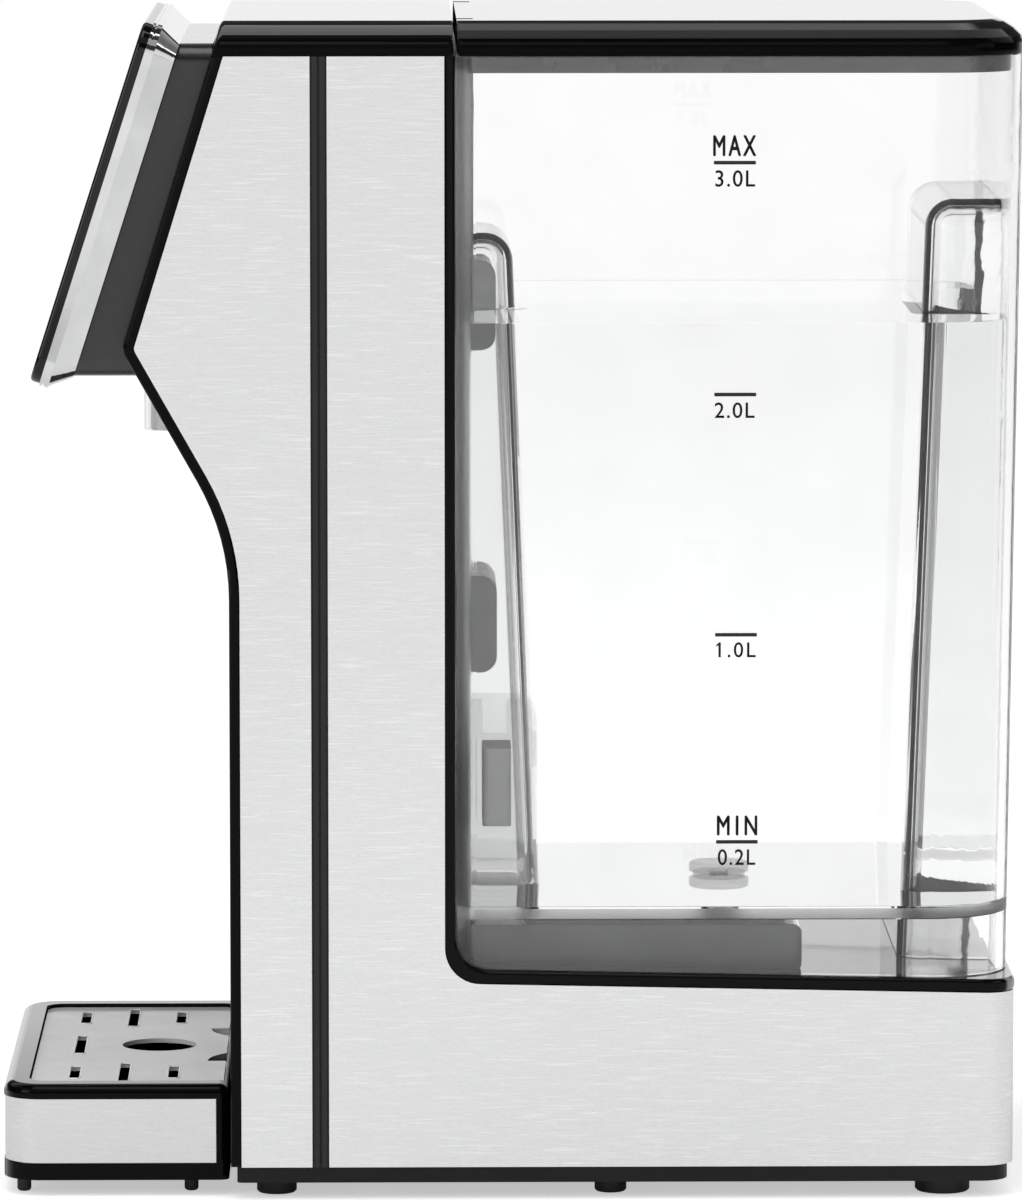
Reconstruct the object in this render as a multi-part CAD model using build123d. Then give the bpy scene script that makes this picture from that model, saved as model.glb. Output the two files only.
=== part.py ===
"""Instant hot water dispenser: steel-clad tower with a leaning control head, a clear
lift-off water tank behind it and a drip tray in front.

Millimetres, +Z up, front towards -Y. The origin is under the middle of the whole
object, on the surface that it stands on. Every piece is a solid of its own.
"""

import os
from math import cos, radians, sin, tan

from build123d import *

# Driving sizes
body_width = 152.0          # across the black edge trims
overall_depth = 267.2       # drip tray front to lid back
overall_height = 307.5      # feet to lid top
lid_rise = 8.5              # top cover and lid, underside to top
tray_length = 59.3
column_depth = 58.8         # column front to the face that the tank stands against
overrun = 4.0               # how far cutting tools run past what they cut
fit_gap = 0.3               # between neighbours that move apart or are only laid together
tank_gap = 0.4              # tank front to column
tray_gap = 0.6              # tray back to column

# Front contour: column face, throat, chin, knee and brow
knee_reach = 27.4           # how far the knee stands in front of the column face
knee_drop = 84.5            # knee below the lid top
chin_angle = 29.5           # chin, from upright
brow_angle = 17.2           # brow, from upright
throat_round = 63.0
knee_round = 5.0
fascia_wall = 2.8
trim_round = 1.0

# Casing and its steel skin
panel_recess = 0.2          # steel lies this far inside the trims
panel_thickness = 0.8
panel_wrap = 16.0           # how far each rear panel turns onto the back
casing_wall = 2.0
web_thickness = 2.2
seam_setback = 23.5         # column face to the groove between the casing halves
seam_groove = 0.6
rib_width = 1.4
rib_gap = 0.5               # dark line between a rib and the steel
base_setback = 2.0          # steel back to lid back
base_round = 9.0            # rear corners of the base, in plan

# Base pan and feet
foot_height = 4.5
pan_edge = 4.3              # height of the black strip under the steel
pan_floor = 2.2
pan_inset = 1.6
pan_lip_height = 5.2
pan_lip_wall = 1.6
foot_seat = 1.0             # how deep a foot sits in the pan
foot_inset = 14.0           # foot centre to the side of the body
foot_diameters = (10.5, 8.4, 14.4)
foot_setbacks_share = (0.0575, 0.4851, 0.9109)   # of the base, behind the column face
pan_screw_diameter = 3.0
pan_screw_head = 6.0
pan_screw_head_height = 1.8
pan_screw_length = 9.0
pan_screw_inset = 10.5
pan_boss_diameter = 7.0
pan_screw_setbacks_share = (0.1754, 0.7306)

# Cradle: the moulding behind and under the tank
cradle_wall = 2.8
deck_height = 60.8          # deck top at the column
deck_fall = 2.9             # how much lower the deck is at the back
deck_thickness = 3.5
cradle_inner_round = 9.0
cradle_outer_round = 9.4
pedestal_height = 71.0
pedestal_length_share = 0.6157   # of the tank's depth
pedestal_inset = 13.0
pedestal_round = 2.8
lug_width = 34.0
lug_reach = 11.4
lug_heights = (23.3, 26.0)
lug_drops = (88.6, 174.5)   # lug undersides below the lid top
lug_round = 4.5

# Tank
tank_wall = 2.5
tank_seat = 2.5             # tank floor over the pedestal
tank_floor = 3.4
tank_side_margin = 1.0      # tank top to the side of the body
tank_side_draft = 1.3       # how much narrower each side is at the bottom
tank_back_draft = 3.0
lid_overhang = 0.3
tank_back_round = 22.0
tank_front_round = 5.0
front_recess_drop = 60.5    # recess top below the lid top
front_recess_width_share = 0.30263
front_recess_depth_top = 12.5
front_recess_depth_bottom = 20.5
rear_recess_drop = 50.5
rear_recess_width_share = 0.51316
rear_recess_depth_top = 21.5
rear_recess_depth_bottom = 28.5
recess_round = 5.0
recess_side_round = 4.0

# Tank valve and its socket
valve_setback_share = 0.47767   # valve axis behind the tank front, of the tank's depth
valve_bore = 10.0
valve_cap_diameter = 16.0
valve_cap_height = 2.6
valve_washer_diameter = 14.0
valve_washer_height = 1.0
valve_stem_diameter = 5.0
valve_stem_drop = 12.5      # stem below the tank floor top
valve_collar_diameter = 8.0
valve_collar_height = 1.6
valve_boss_diameter = 18.0
valve_boss_wall = 1.8
valve_boss_drop = 8.5       # boss below the floor underside
valve_web = 1.2
spring_wire = 0.7
spring_turns = 4
spring_sides = 8            # flats round the wire
socket_wall = 1.8
socket_floor = 2.0
socket_depth = 12.0
socket_flange = 3.0
socket_flange_height = 1.2
socket_pin_diameter = 3.0
socket_pin_gap = 0.4
socket_drain = 5.0          # bar across the drain that carries the push pin
spigot_length = 11.0
seal_height = 1.6
seal_gap = 0.1

# Level float and its cage
cage_width = 25.0
cage_recess_gap = 8.0       # cage side to the wall of the front recess
cage_depth = 18.6
cage_height = 52.5
cage_wall = 1.4
cage_window = 14.0
cage_window_height = 8.0
cage_stop_height = 10.5     # block under the cage's top that stops the float
cage_stop_depth = 6.5
cage_stop_set = 4.3         # stop behind the tank's front inner face
float_gap = 0.4             # float to the cage's sides
float_depth = 7.5
float_height = 20.6
float_lift = 19.6           # float bottom over the tank floor at rest
float_round = 1.6
float_set = 4.3             # float front face behind the tank's front inner face
magnet_diameter = 5.0
magnet_length = 4.0
reed_width = 14.0
reed_depth = 5.0
reed_height = 24.0

# Lid and its hinge
lid_gap = 1.1               # top cover to lid
lid_thickness = 2.2
lid_flat_inset = 16.0       # flat of the top to each side of the body
lid_flat_back = 6.6         # flat to lid back
lid_flat_round = 16.0
lid_edge_height = 3.0       # upright part of the lid edge
lid_edge_relief = 0.6       # bevel that lets the lid's front edge swing over the tank
lid_shoulder_power = 1.38   # how full the shoulder is: 1 is an ellipse, 2 is straight
lid_shoulder_steps = 4
hinge_set = 2.1             # hinge axis behind the lid front and under its top
hinge_pin_diameter = 2.2
hinge_ear_width = 4.0
hinge_ear_radius = 1.9
hinge_offset = 50.0         # ears from the middle
hinge_pin_length = 13.0
hinge_clearance = 0.05
hinge_bar_depth = 5.6       # solid front bar of the lid
plug_depth = 4.5
plug_wall = 2.0
plug_gap = 0.7              # plug to tank wall

# Top cover of the tower
cover_wall = 2.2
cover_lean = 1.8            # how far the front end leans back
cover_front_round = 5.0

# Control head
head_inset = 16.0           # head side to the side of the body
head_top_drop = 6.1         # below the lid top
head_bottom_drop = 92.7
head_round = 4.6
head_wall = 2.2
head_lean = 17.9            # glass, from upright
glass_inset = 10.0
glass_height = 98.0
glass_thickness = 2.7
glass_round = 7.0
glass_edge_round = 1.1
glass_reach = 24.5          # lower glass edge in front of the knee
glass_drop = 9.0            # and below it
bezel_lip = 2.4
bezel_groove = 0.5          # fine groove round the lip
bezel_groove_set = 0.7      # behind the glass
bezel_depth = 7.9
bezel_side_taper = 1.6      # how far each side falls in, lip to back
bezel_lip_margin = 0.5
bezel_window = 9.0          # bezel frame width
board_thickness = 1.6
board_set = 2.2             # board behind the glass
board_margin = 1.0
led_width = 36.0
led_height = 16.0
touch_pad_diameter = 12.0
touch_pad_pitch = 26.0
touch_pad_drop = 24.0

# Spout
spout_setback = 9.6         # spout axis behind the knee
spout_drop = 111.9          # spout tip below the lid top
sleeve_diameter = 12.0
sleeve_wall = 1.0
nozzle_diameter = 8.6
nozzle_bore = 6.0
nozzle_rise = 31.0
holder_thickness = 4.0
holder_width = 34.0
holder_depth = 24.0
holder_drop = 85.0
holder_front = 4.5          # holder front behind the knee

# Heater, pump and hoses
hose_diameter = 8.0
hose_bore = 6.0
spigot_diameter = 6.0
spigot_bore = 4.0
heater_diameter = 44.0
heater_length = 88.0
heater_drop = 191.5         # barrel's lower end below the lid top
heater_cap_height = 8.0
heater_cap_overlap = 1.5
heater_setback = 29.0       # heater axis behind the column face
heater_spigot = 9.0
bracket_width = 8.0
bracket_thickness = 1.6
bracket_heights_share = (0.18, 0.82)
thermostat_diameter = 15.0
thermostat_height = 7.0
thermostat_share = (0.36, 0.64)
terminal_width = 6.3
terminal_thickness = 0.8
terminal_length = 8.0
pump_diameter = 27.0
pump_length_share = 0.2601   # of the base behind the tank's front
pump_head_diameter = 34.0
pump_head_length = 18.0
pump_wall = 2.2
pump_inset = 38.0           # pump axis to the side of the body
pump_height = 31.0
pump_front = 12.0           # motor front behind the tank front
pump_shaft = 2.0
pump_shaft_clearance = 0.05
impeller_gap = 1.2
impeller_hub = 7.0
impeller_vane = 1.4
impeller_disc = 1.6
impeller_vanes = 6
pump_port = 8.0
cushion_width = 20.0
cushion_length = 24.0
hose_bend = 7.5
riser_bend = 20.0
hose_low = 20.0
hose_loop = 28.0            # how far the inlet hose swings behind the pump
outlet_hose_rise = 24.5     # outlet hose over the heater's upper cap

# Electrics
power_board_length = 40.0
power_board_height = 110.0
power_board_drop = 189.5    # board's lower edge below the lid top
power_board_gap = 9.0       # board to casing wall
post_diameter = 6.0
relay_size = (12.0, 15.0, 20.0)
capacitor_diameter = 12.0
capacitor_height = 16.0
coil_size = (18.0, 16.0, 18.0)
terminal_block_size = (26.0, 14.0, 12.0)
gland_flange = 15.0
gland_flange_thickness = 2.2
gland_body = 11.0
gland_bore = 7.4
gland_length = 11.0
gland_inset = 31.0
gland_height = 24.0
vent_width = 2.4
vent_length = 22.0
vent_pitch = 6.0
vent_count = 7
vent_height = 32.0

# Drip tray and its grille
tray_inset = 7.0            # tray side to the side of the body
tray_bottom = 4.3
tray_top = 29.5
tray_front_round = 10.0
tray_back_round = 2.5
tray_edge_round = 2.6
tray_wall = 5.2
tray_floor = 2.4
tray_strip = 4.5            # black strip under the steel band
band_height = 17.0
band_thickness = 0.6
band_recess = 0.25          # how far the band lies inside the rim
band_stop = 3.2             # band end before the tray back
tray_foot_diameter = 3.7
tray_foot_inset = 9.0
tray_foot_setbacks = (5.2, 49.2)
tongue_width = 16.0
tongue_thickness = 4.0
tongue_reach = 6.0
tongue_offset = 40.0
tongue_height = 15.0
tongue_gap = 0.4
grille_thickness = 1.2
grille_sink = 1.0           # grille top under the rim
grille_inset = 7.7          # grille edge to the tray side
grille_front = 6.9          # grille edge behind the tray front
grille_back = 1.6           # grille edge before the tray back
grille_gap = 0.35
grille_corner = 5.0
ledge_drop = 3.2            # ledge that carries the grille, thickness
slot_width = 3.0
slot_short = 18.0
slot_long = 28.0
slot_row_inset = 17.9       # outer slots to the grille edge
slot_pitch = 13.05
slot_setback = 18.1         # first slots behind the tray front
ring_hole = 20.0
ring_setback = 39.3
notch_half_width = 26.0
notch_inner_share = 0.42
notch_middle_share = 0.7    # of the notch's depth, at the middle of its curve
notch_depth = 4.8

# Places worked out from the sizes above
half_width = body_width / 2
shoulder_height = overall_height - lid_rise
knee_height = overall_height - knee_drop
front_y = -overall_depth / 2
back_y = overall_depth / 2
tray_back = front_y + tray_length
column_front = tray_back + tray_gap
column_back = column_front + column_depth
tank_front = column_back + tank_gap
tank_back = back_y - lid_overhang
base_back = back_y - base_setback
knee_y = column_front - knee_reach
seam_y = column_front + seam_setback
pan_top = foot_height + pan_edge
base_length = base_back - column_front
panel_face = half_width - panel_recess
casing_face = panel_face - panel_thickness
casing_inside = casing_face - casing_wall
cradle_front = column_back - cradle_wall
tank_floor_height = pedestal_height + tank_seat
floor_top = tank_floor_height + tank_floor
tank_top = shoulder_height - fit_gap
valve_y = tank_front + valve_setback_share * (tank_back - tank_front)
pedestal_length = pedestal_length_share * (tank_back - tank_front)
front_recess_top = overall_height - front_recess_drop
front_recess_width = front_recess_width_share * body_width
cage_offset = front_recess_width / 2 + tank_wall + cage_recess_gap + cage_width / 2
rear_recess_top = overall_height - rear_recess_drop
rear_recess_width = rear_recess_width_share * body_width
cover_front = knee_y + (shoulder_height - knee_height) * tan(radians(brow_angle))
cover_back = column_back - lid_gap / 2
lid_front = cover_back + lid_gap
spout_y = knee_y + spout_setback
heater_y = column_front + heater_setback
hinge_y = lid_front + hinge_set
hinge_z = overall_height - hinge_set
lid_flat_width = body_width - 2 * lid_flat_inset
head_width = body_width - 2 * head_inset
head_top = overall_height - head_top_drop
head_bottom = overall_height - head_bottom_drop
glass_width = body_width - 2 * glass_inset
spout_tip = overall_height - spout_drop
holder_height = overall_height - holder_drop
heater_bottom = overall_height - heater_drop
outlet_hose_height = heater_bottom + heater_length + heater_cap_height + outlet_hose_rise
pump_length = pump_length_share * (base_back - tank_front)
pump_offset = half_width - pump_inset
power_board_bottom = overall_height - power_board_drop
gland_offset = half_width - gland_inset
tray_width = body_width - 2 * tray_inset
grille_width = tray_width - 2 * grille_inset
slot_row = grille_width / 2 - slot_row_inset


def save(name, *solids):
    """Write one node; identical loose pieces share a node as separate solids."""
    shapes = [solid for item in solids for solid in item.solids()]
    shape = shapes[0] if len(shapes) == 1 else Compound(children=shapes)
    shape.label = name
    export_step(shape, f"parts/{name}.step")


def block(x0, x1, y0, y1, z0, z1):
    """Box between two corners."""
    centre = Pos((x0 + x1) / 2, (y0 + y1) / 2, (z0 + z1) / 2)
    return centre * Box(x1 - x0, y1 - y0, z1 - z0)


def both_sides(solid):
    """A solid and its mirror image across the middle of the object."""
    return [solid, mirror(solid, Plane.YZ)]


def rod(start, end, diameter):
    """Round bar from one point to another along a line."""
    axis = Vector(*end) - Vector(*start)
    return extrude(Plane(origin=start, z_dir=axis) * Circle(diameter / 2), axis.length)


def side_prism(outline, x0, x1):
    """Prism of a (Y, Z) face between two planes across the object."""
    return extrude(Plane.YZ.offset(x0) * outline, x1 - x0)


def side_polygon(points):
    """Straight-sided (Y, Z) face."""
    return make_face(Polyline(*points, close=True))


def plan_face(half, front, back, front_round, back_round, height):
    """Rectangle in plan with its own front and back corner radii."""
    face = Pos(0, (front + back) / 2) * Rectangle(2 * half, back - front)
    face = fillet(face.vertices().group_by(Axis.Y)[0], front_round)
    face = fillet(face.vertices().group_by(Axis.Y)[-1], back_round)
    return Pos(0, 0, height) * face


def contour_corners(inset, bottom, top):
    """Corners of the front contour from bottom to top, moved back square by inset."""
    chin, brow = radians(chin_angle), radians(brow_angle)
    rise = inset * (1 / cos(chin) - 1 / cos(brow)) / (tan(chin) + tan(brow))
    brow_y = knee_y + inset / cos(brow)
    throat = knee_height - (column_front + inset - knee_y - inset / cos(chin)) / tan(chin)
    return [
        (column_front + inset, bottom),
        (column_front + inset, throat),
        (brow_y + rise * tan(brow), knee_height + rise),
        (brow_y + (top - knee_height) * tan(brow), top),
    ]


def contour_face(inset, back, bottom, top):
    """(Y, Z) face behind the front contour, up to a plane at the back."""
    rounds = [throat_round + inset, max(knee_round - inset, fit_gap)]
    front = FilletPolyline(*contour_corners(inset, bottom, top), radius=rounds)
    rest = Polyline(front @ 1, (back, top), (back, bottom), front @ 0)
    return make_face(front + rest)


def body_plan(inset, bottom, top):
    """Plan of the body as an upright prism, its rear corners rounded."""
    half = half_width - inset
    round_left = max(base_round - inset, fit_gap)
    face = plan_face(half, knee_y - overrun, base_back - inset, fit_gap, round_left, bottom)
    return extrude(face, top - bottom)


def deck_line(y, offset=0):
    """Height of the sloping deck top at a place, less an offset."""
    fall = deck_fall * (y - column_back) / (base_back - column_back)
    return deck_height - fall - offset


def cradle_face():
    """L-shaped (Y, Z) face of the cradle: upright wall and sloping deck."""
    outer = FilletPolyline(
        (cradle_front, shoulder_height),
        (cradle_front, deck_line(cradle_front, deck_thickness)),
        (base_back, deck_line(base_back, deck_thickness)),
        radius=cradle_outer_round,
    )
    inner = FilletPolyline(
        (base_back, deck_line(base_back)),
        (column_back, deck_line(column_back)),
        (column_back, shoulder_height),
        radius=cradle_inner_round,
    )
    return make_face(outer + Line(outer @ 1, inner @ 0) + inner + Line(inner @ 1, outer @ 0))


def under_cradle_face(front):
    """(Y, Z) face of what lies in front of the cradle and under it."""
    outer = FilletPolyline(
        (cradle_front, shoulder_height),
        (cradle_front, deck_line(cradle_front, deck_thickness)),
        (base_back + overrun, deck_line(base_back + overrun, deck_thickness)),
        radius=cradle_outer_round,
    )
    rest = Polyline(
        outer @ 1, (base_back + overrun, pan_top), (front, pan_top), (front, shoulder_height), outer @ 0
    )
    return make_face(outer + rest)


def base_pan():
    """Shallow pan under everything, with a lip inside the casing and screw bosses."""
    half = half_width - pan_inset
    front = column_front + pan_inset
    back = base_back - pan_inset
    round_outer = base_round - pan_inset
    pan = extrude(plan_face(half, front, back, pan_inset, round_outer, foot_height), pan_edge)
    pan -= extrude(
        plan_face(
            half - pan_floor, front + pan_floor, back - pan_floor,
            pan_inset, round_outer - pan_floor, foot_height + pan_floor,
        ),
        pan_edge,
    )
    lip_half = casing_inside - fit_gap
    lip_front = column_front + fascia_wall + fit_gap
    lip_back = base_back - half_width + casing_inside - fit_gap
    lip_round = base_round - half_width + casing_inside
    lip_bottom = foot_height + pan_floor
    lip = extrude(
        plan_face(lip_half, lip_front, lip_back, pan_inset, lip_round, lip_bottom),
        pan_edge - pan_floor + pan_lip_height,
    )
    lip -= extrude(
        plan_face(
            lip_half - pan_lip_wall, lip_front + pan_lip_wall, lip_back - pan_lip_wall,
            pan_inset, lip_round - pan_lip_wall, lip_bottom,
        ),
        pan_edge + pan_lip_height,
    )
    pan += lip
    for x, y in pan_screw_places():
        boss = Pos(x, y, lip_bottom) * Cylinder(
            pan_boss_diameter / 2, pan_lip_height, align=(Align.CENTER, Align.CENTER, Align.MIN)
        )
        pan += boss
    for x, y in pan_screw_places():
        pan -= rod(
            (x, y, foot_height - overrun), (x, y, pan_top + pan_lip_height),
            pan_screw_diameter + fit_gap,
        )
        pan -= rod(
            (x, y, foot_height - overrun), (x, y, foot_height + pan_screw_head_height),
            pan_screw_head + fit_gap,
        )
    for x, y, diameter in foot_places():
        pan -= rod((x, y, foot_height - overrun), (x, y, foot_height + foot_seat), diameter)
    return pan


def foot_places():
    """Centre and diameter of each rubber foot."""
    places = []
    for share, diameter in zip(foot_setbacks_share, foot_diameters):
        for side in (-1, 1):
            y = column_front + share * base_length
            places.append((side * (half_width - foot_inset), y, diameter))
    return places


def pan_screw_places():
    """Centres of the screws that hold the pan to the casing."""
    x = casing_inside - pan_screw_inset
    rows = [column_front + share * base_length for share in pan_screw_setbacks_share]
    return [(side * x, y) for y in rows for side in (-1, 1)]


def body_feet():
    """Rubber feet with a softened lower edge."""
    feet = []
    for x, y, diameter in foot_places():
        foot = rod((x, y, 0), (x, y, foot_height + foot_seat), diameter)
        feet.append(chamfer(foot.edges().group_by(Axis.Z)[0], foot_seat / 2))
    return feet


def pan_screws():
    """Countersunk-style pan screws, driven from below."""
    screws = []
    for x, y in pan_screw_places():
        head_top = foot_height + pan_screw_head_height
        screw = rod((x, y, foot_height), (x, y, head_top), pan_screw_head)
        screw += rod((x, y, foot_height), (x, y, foot_height + pan_screw_length), pan_screw_diameter)
        screws.append(screw)
    return screws


def front_fascia():
    """Full-width front moulding whose edges show as the black contour trim."""
    outer = contour_face(0, column_front + knee_reach, pan_top, shoulder_height)
    inner = contour_face(fascia_wall, column_front + knee_reach, pan_top, shoulder_height)
    wall = side_prism(outer - inner, -half_width, half_width)
    rims = wall.edges().filter_by(
        lambda e: abs(abs(e.center().X) - half_width) < trim_round
        and on_contour(e.center())
    )
    wall = fillet(rims, trim_round)
    wall -= rod(
        (0, spout_y, spout_tip), (0, spout_y, holder_height), sleeve_diameter + 2 * fit_gap
    )
    for side in (-1, 1):
        x = side * tongue_offset
        wall -= block(
            x - tongue_width / 2 - tongue_gap, x + tongue_width / 2 + tongue_gap,
            column_front - overrun, column_front + fascia_wall + overrun,
            tongue_height - tongue_gap, tongue_height + tongue_thickness + tongue_gap,
        )
    window = head_width / 2 - head_wall - head_round
    wall -= block(
        -window, window, knee_y - overrun, column_front,
        knee_height + knee_round + head_round, head_top - head_wall - head_round - overrun,
    )
    return wall


def on_contour(point):
    """Whether a point lies on the outside of the front contour."""
    corners = contour_corners(0, pan_top, shoulder_height)
    reach = fascia_wall / 2
    for (y0, z0), (y1, z1) in zip(corners, corners[1:]):
        run = Vector(y1 - y0, z1 - z0)
        away = Vector(point.Y - y0, point.Z - z0)
        along = away.dot(run) / run.length
        if -reach < along < run.length + reach and away.cross(run.normalized()).length < reach:
            return True
    near_throat = Vector(point.Y - corners[1][0], point.Z - corners[1][1]).length
    return near_throat < throat_round * tan(radians(chin_angle / 2)) and point.Y < column_front + reach


def parted(shell):
    """Right wall, left wall and what joins them, of a casing shell."""
    middle = block(-casing_inside, casing_inside, -overall_depth, overall_depth, 0, overall_height)
    left, right = (shell - middle).solids().sort_by(Axis.X)
    return right, left, shell & middle


def front_casing():
    """Walls behind the front steel panels, the right one with posts for the board, and their roof."""
    sides = side_prism(
        contour_face(fascia_wall, seam_y, pan_top, shoulder_height), -casing_face, casing_face
    )
    sides -= side_prism(
        contour_face(fascia_wall - overrun, seam_y + overrun, pan_top - overrun,
                     shoulder_height - web_thickness),
        -casing_inside, casing_inside,
    )
    rib_back = seam_y - seam_groove / 2
    for x0, x1 in side_spans(casing_face, half_width - panel_recess / 2):
        sides += block(x0, x1, rib_back - rib_width, rib_back, pan_top, shoulder_height)
    right, left, roof = parted(sides)
    for z in post_heights():
        for y in post_setbacks():
            right += rod(
                (casing_inside, y, z), (casing_inside - power_board_gap, y, z), post_diameter
            )
    return right, left, roof


def side_spans(inner, outer):
    """The left and right spans between two distances from the middle."""
    return ((-outer, -inner), (inner, outer))


def post_heights():
    """Heights of the posts that carry the power board."""
    margin = post_diameter
    return (power_board_bottom + margin, power_board_bottom + power_board_height - margin)


def post_setbacks():
    """Places along the body of the posts that carry the power board."""
    front = board_front() + post_diameter
    return (front, board_front() + power_board_length - 2 * post_diameter)


def board_front():
    """Front edge of the power board, behind the front wall of the column."""
    return column_front + fascia_wall + 2 * fit_gap


def rear_shell():
    """Plastic skin with rounded rear corners, open at the bottom."""
    skin = body_plan(half_width - casing_face, pan_top, shoulder_height)
    inside = half_width - casing_inside
    return skin - body_plan(inside, pan_top - overrun, shoulder_height - web_thickness)


def rear_casing():
    """Walls and roof of the column behind the seam."""
    column = rear_shell() & block(
        -half_width, half_width, seam_y, cradle_front, pan_top, shoulder_height
    )
    rib_front = seam_y + seam_groove / 2
    for x0, x1 in side_spans(casing_face, half_width - panel_recess / 2):
        column += block(x0, x1, rib_front, rib_front + rib_width, pan_top, shoulder_height)
    return parted(column)


def base_casing():
    """Side walls under the tank, and the back wall with its vents and the cord's hole."""
    far = base_back + overrun
    under = side_polygon([
        (cradle_front, pan_top), (cradle_front, deck_line(cradle_front, deck_thickness)),
        (far, deck_line(far, deck_thickness)), (far, pan_top),
    ])
    shell = rear_shell() & side_prism(under, -half_width, half_width)
    rear = block(-half_width, half_width, base_back - base_round, far, 0, overall_height)
    left, right = (shell - rear).solids().sort_by(Axis.X)
    casing = shell & rear
    pad_half = half_width - panel_wrap - rib_gap
    pad_top = deck_line(base_back, deck_thickness)
    back_face = base_back - half_width + casing_face
    casing += block(
        -pad_half, pad_half, back_face, base_back - panel_recess, pan_top, pad_top
    )
    for place in range(vent_count):
        x = (place - (vent_count - 1) / 2) * vent_pitch
        casing -= block(
            x - vent_width / 2, x + vent_width / 2, back_face - casing_wall - overrun,
            base_back + overrun, vent_height - vent_length / 2, vent_height + vent_length / 2,
        )
    casing -= rod(
        (-gland_offset, back_face - casing_wall - overrun, gland_height),
        (-gland_offset, base_back + overrun, gland_height), gland_body,
    )
    return right, left, casing


def front_panel():
    """Flat brushed steel skin of one side, between the contour trim and the seam."""
    edge = seam_y - seam_groove / 2 - rib_width - rib_gap
    face = contour_face(fascia_wall, edge, pan_top, shoulder_height)
    return side_prism(face, casing_face, panel_face)


def rear_panel():
    """Brushed steel skin behind the seam, under the tank and round the rear corner."""
    edge = seam_y + seam_groove / 2 + rib_width + rib_gap
    outline = side_prism(under_cradle_face(edge), 0, half_width)
    skin = body_plan(panel_recess, pan_top, shoulder_height)
    skin -= body_plan(half_width - casing_face, pan_top - overrun, shoulder_height + overrun)
    panel = outline & skin
    keep = half_width - panel_wrap
    return panel - block(-overrun, keep, seam_y, back_y, 0, overall_height)


def tank_cradle():
    """Upright wall and deck that hold the tank, with the pedestal and the socket hole."""
    cradle = side_prism(cradle_face(), -half_width, half_width)
    cradle &= body_plan(0, pan_top, shoulder_height)
    rims = cradle.edges().filter_by(
        lambda e: abs(abs(e.center().X) - half_width) < trim_round
        and e.length > cradle_wall + deck_thickness
    )
    cradle = fillet(rims, trim_round)
    half = half_width - pedestal_inset
    pedestal = block(
        -half, half, column_back - cradle_wall / 2, column_back + pedestal_length,
        deck_line(base_back), pedestal_height,
    )
    pedestal = fillet(pedestal.faces().sort_by(Axis.Y)[-1].edges(), pedestal_round)
    cradle += pedestal
    cradle -= rod(
        (0, valve_y, deck_height - deck_thickness - overrun * 2), (0, valve_y, pedestal_height + overrun),
        socket_outer() + fit_gap,
    )
    return cradle


def guide_lugs():
    """Two lugs on the cradle wall that centre the tank by its front recess."""
    lugs = []
    for drop, height in zip(lug_drops, lug_heights):
        bottom = overall_height - drop
        lug = block(
            -lug_width / 2, lug_width / 2, column_back, column_back + lug_reach, bottom, bottom + height
        )
        outer = lug.faces().sort_by(Axis.Y)[-1]
        lugs.append(fillet(outer.edges().filter_by(Axis.X), lug_round))
    return lugs


def socket_outer():
    """Outer diameter of the socket cup."""
    return valve_boss_diameter + 2 * (fit_gap + socket_wall)


def tank_socket():
    """Cup in the pedestal that the tank's valve boss drops into, with its push pin."""
    outer = socket_outer()
    top = pedestal_height
    bottom = top - socket_depth
    cup = rod((0, valve_y, bottom), (0, valve_y, top), outer)
    cup += rod((0, valve_y, top), (0, valve_y, top + socket_flange_height), outer + 2 * socket_flange)
    cup -= rod(
        (0, valve_y, bottom + socket_floor), (0, valve_y, top + overrun), outer - 2 * socket_wall
    )
    cup += rod((0, valve_y, bottom - spigot_length), (0, valve_y, bottom), spigot_diameter)
    cup -= rod((0, valve_y, bottom - spigot_length), (0, valve_y, bottom + socket_floor), spigot_bore)
    bar = socket_drain / 2
    cup += block(
        -bar, bar, valve_y - socket_pin_diameter / 2, valve_y + socket_pin_diameter / 2,
        bottom + socket_floor / 2, bottom + socket_floor,
    )
    pin_top = floor_top - valve_stem_drop - socket_pin_gap
    return cup + rod((0, valve_y, bottom + socket_floor / 2), (0, valve_y, pin_top), socket_pin_diameter)


def socket_seal():
    """Rubber ring on the socket floor that the valve boss presses on."""
    bottom = pedestal_height - socket_depth + socket_floor
    outer = socket_outer() - 2 * socket_wall - 2 * seal_gap
    ring = rod((0, valve_y, bottom), (0, valve_y, bottom + seal_height), outer)
    return ring - rod(
        (0, valve_y, bottom), (0, valve_y, bottom + seal_height), outer - 2 * valve_boss_wall - fit_gap
    )


def tank_section(inset, height):
    """Plan outline of the tank at a height, its walls moved in by inset."""
    low = deck_line(base_back)
    share = (height - low) / (tank_top - low)
    half = half_width - tank_side_margin - tank_side_draft * (1 - share) - inset
    back = tank_back - tank_back_draft * (1 - share) - inset
    front_round = max(tank_front_round - inset, fit_gap)
    return plan_face(half, tank_front + inset, back, front_round, tank_back_round - inset, height)


def tank_block(inset, bottom, top):
    """Drafted solid of the tank between two heights."""
    return loft([tank_section(inset, bottom), tank_section(inset, top)])


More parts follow.
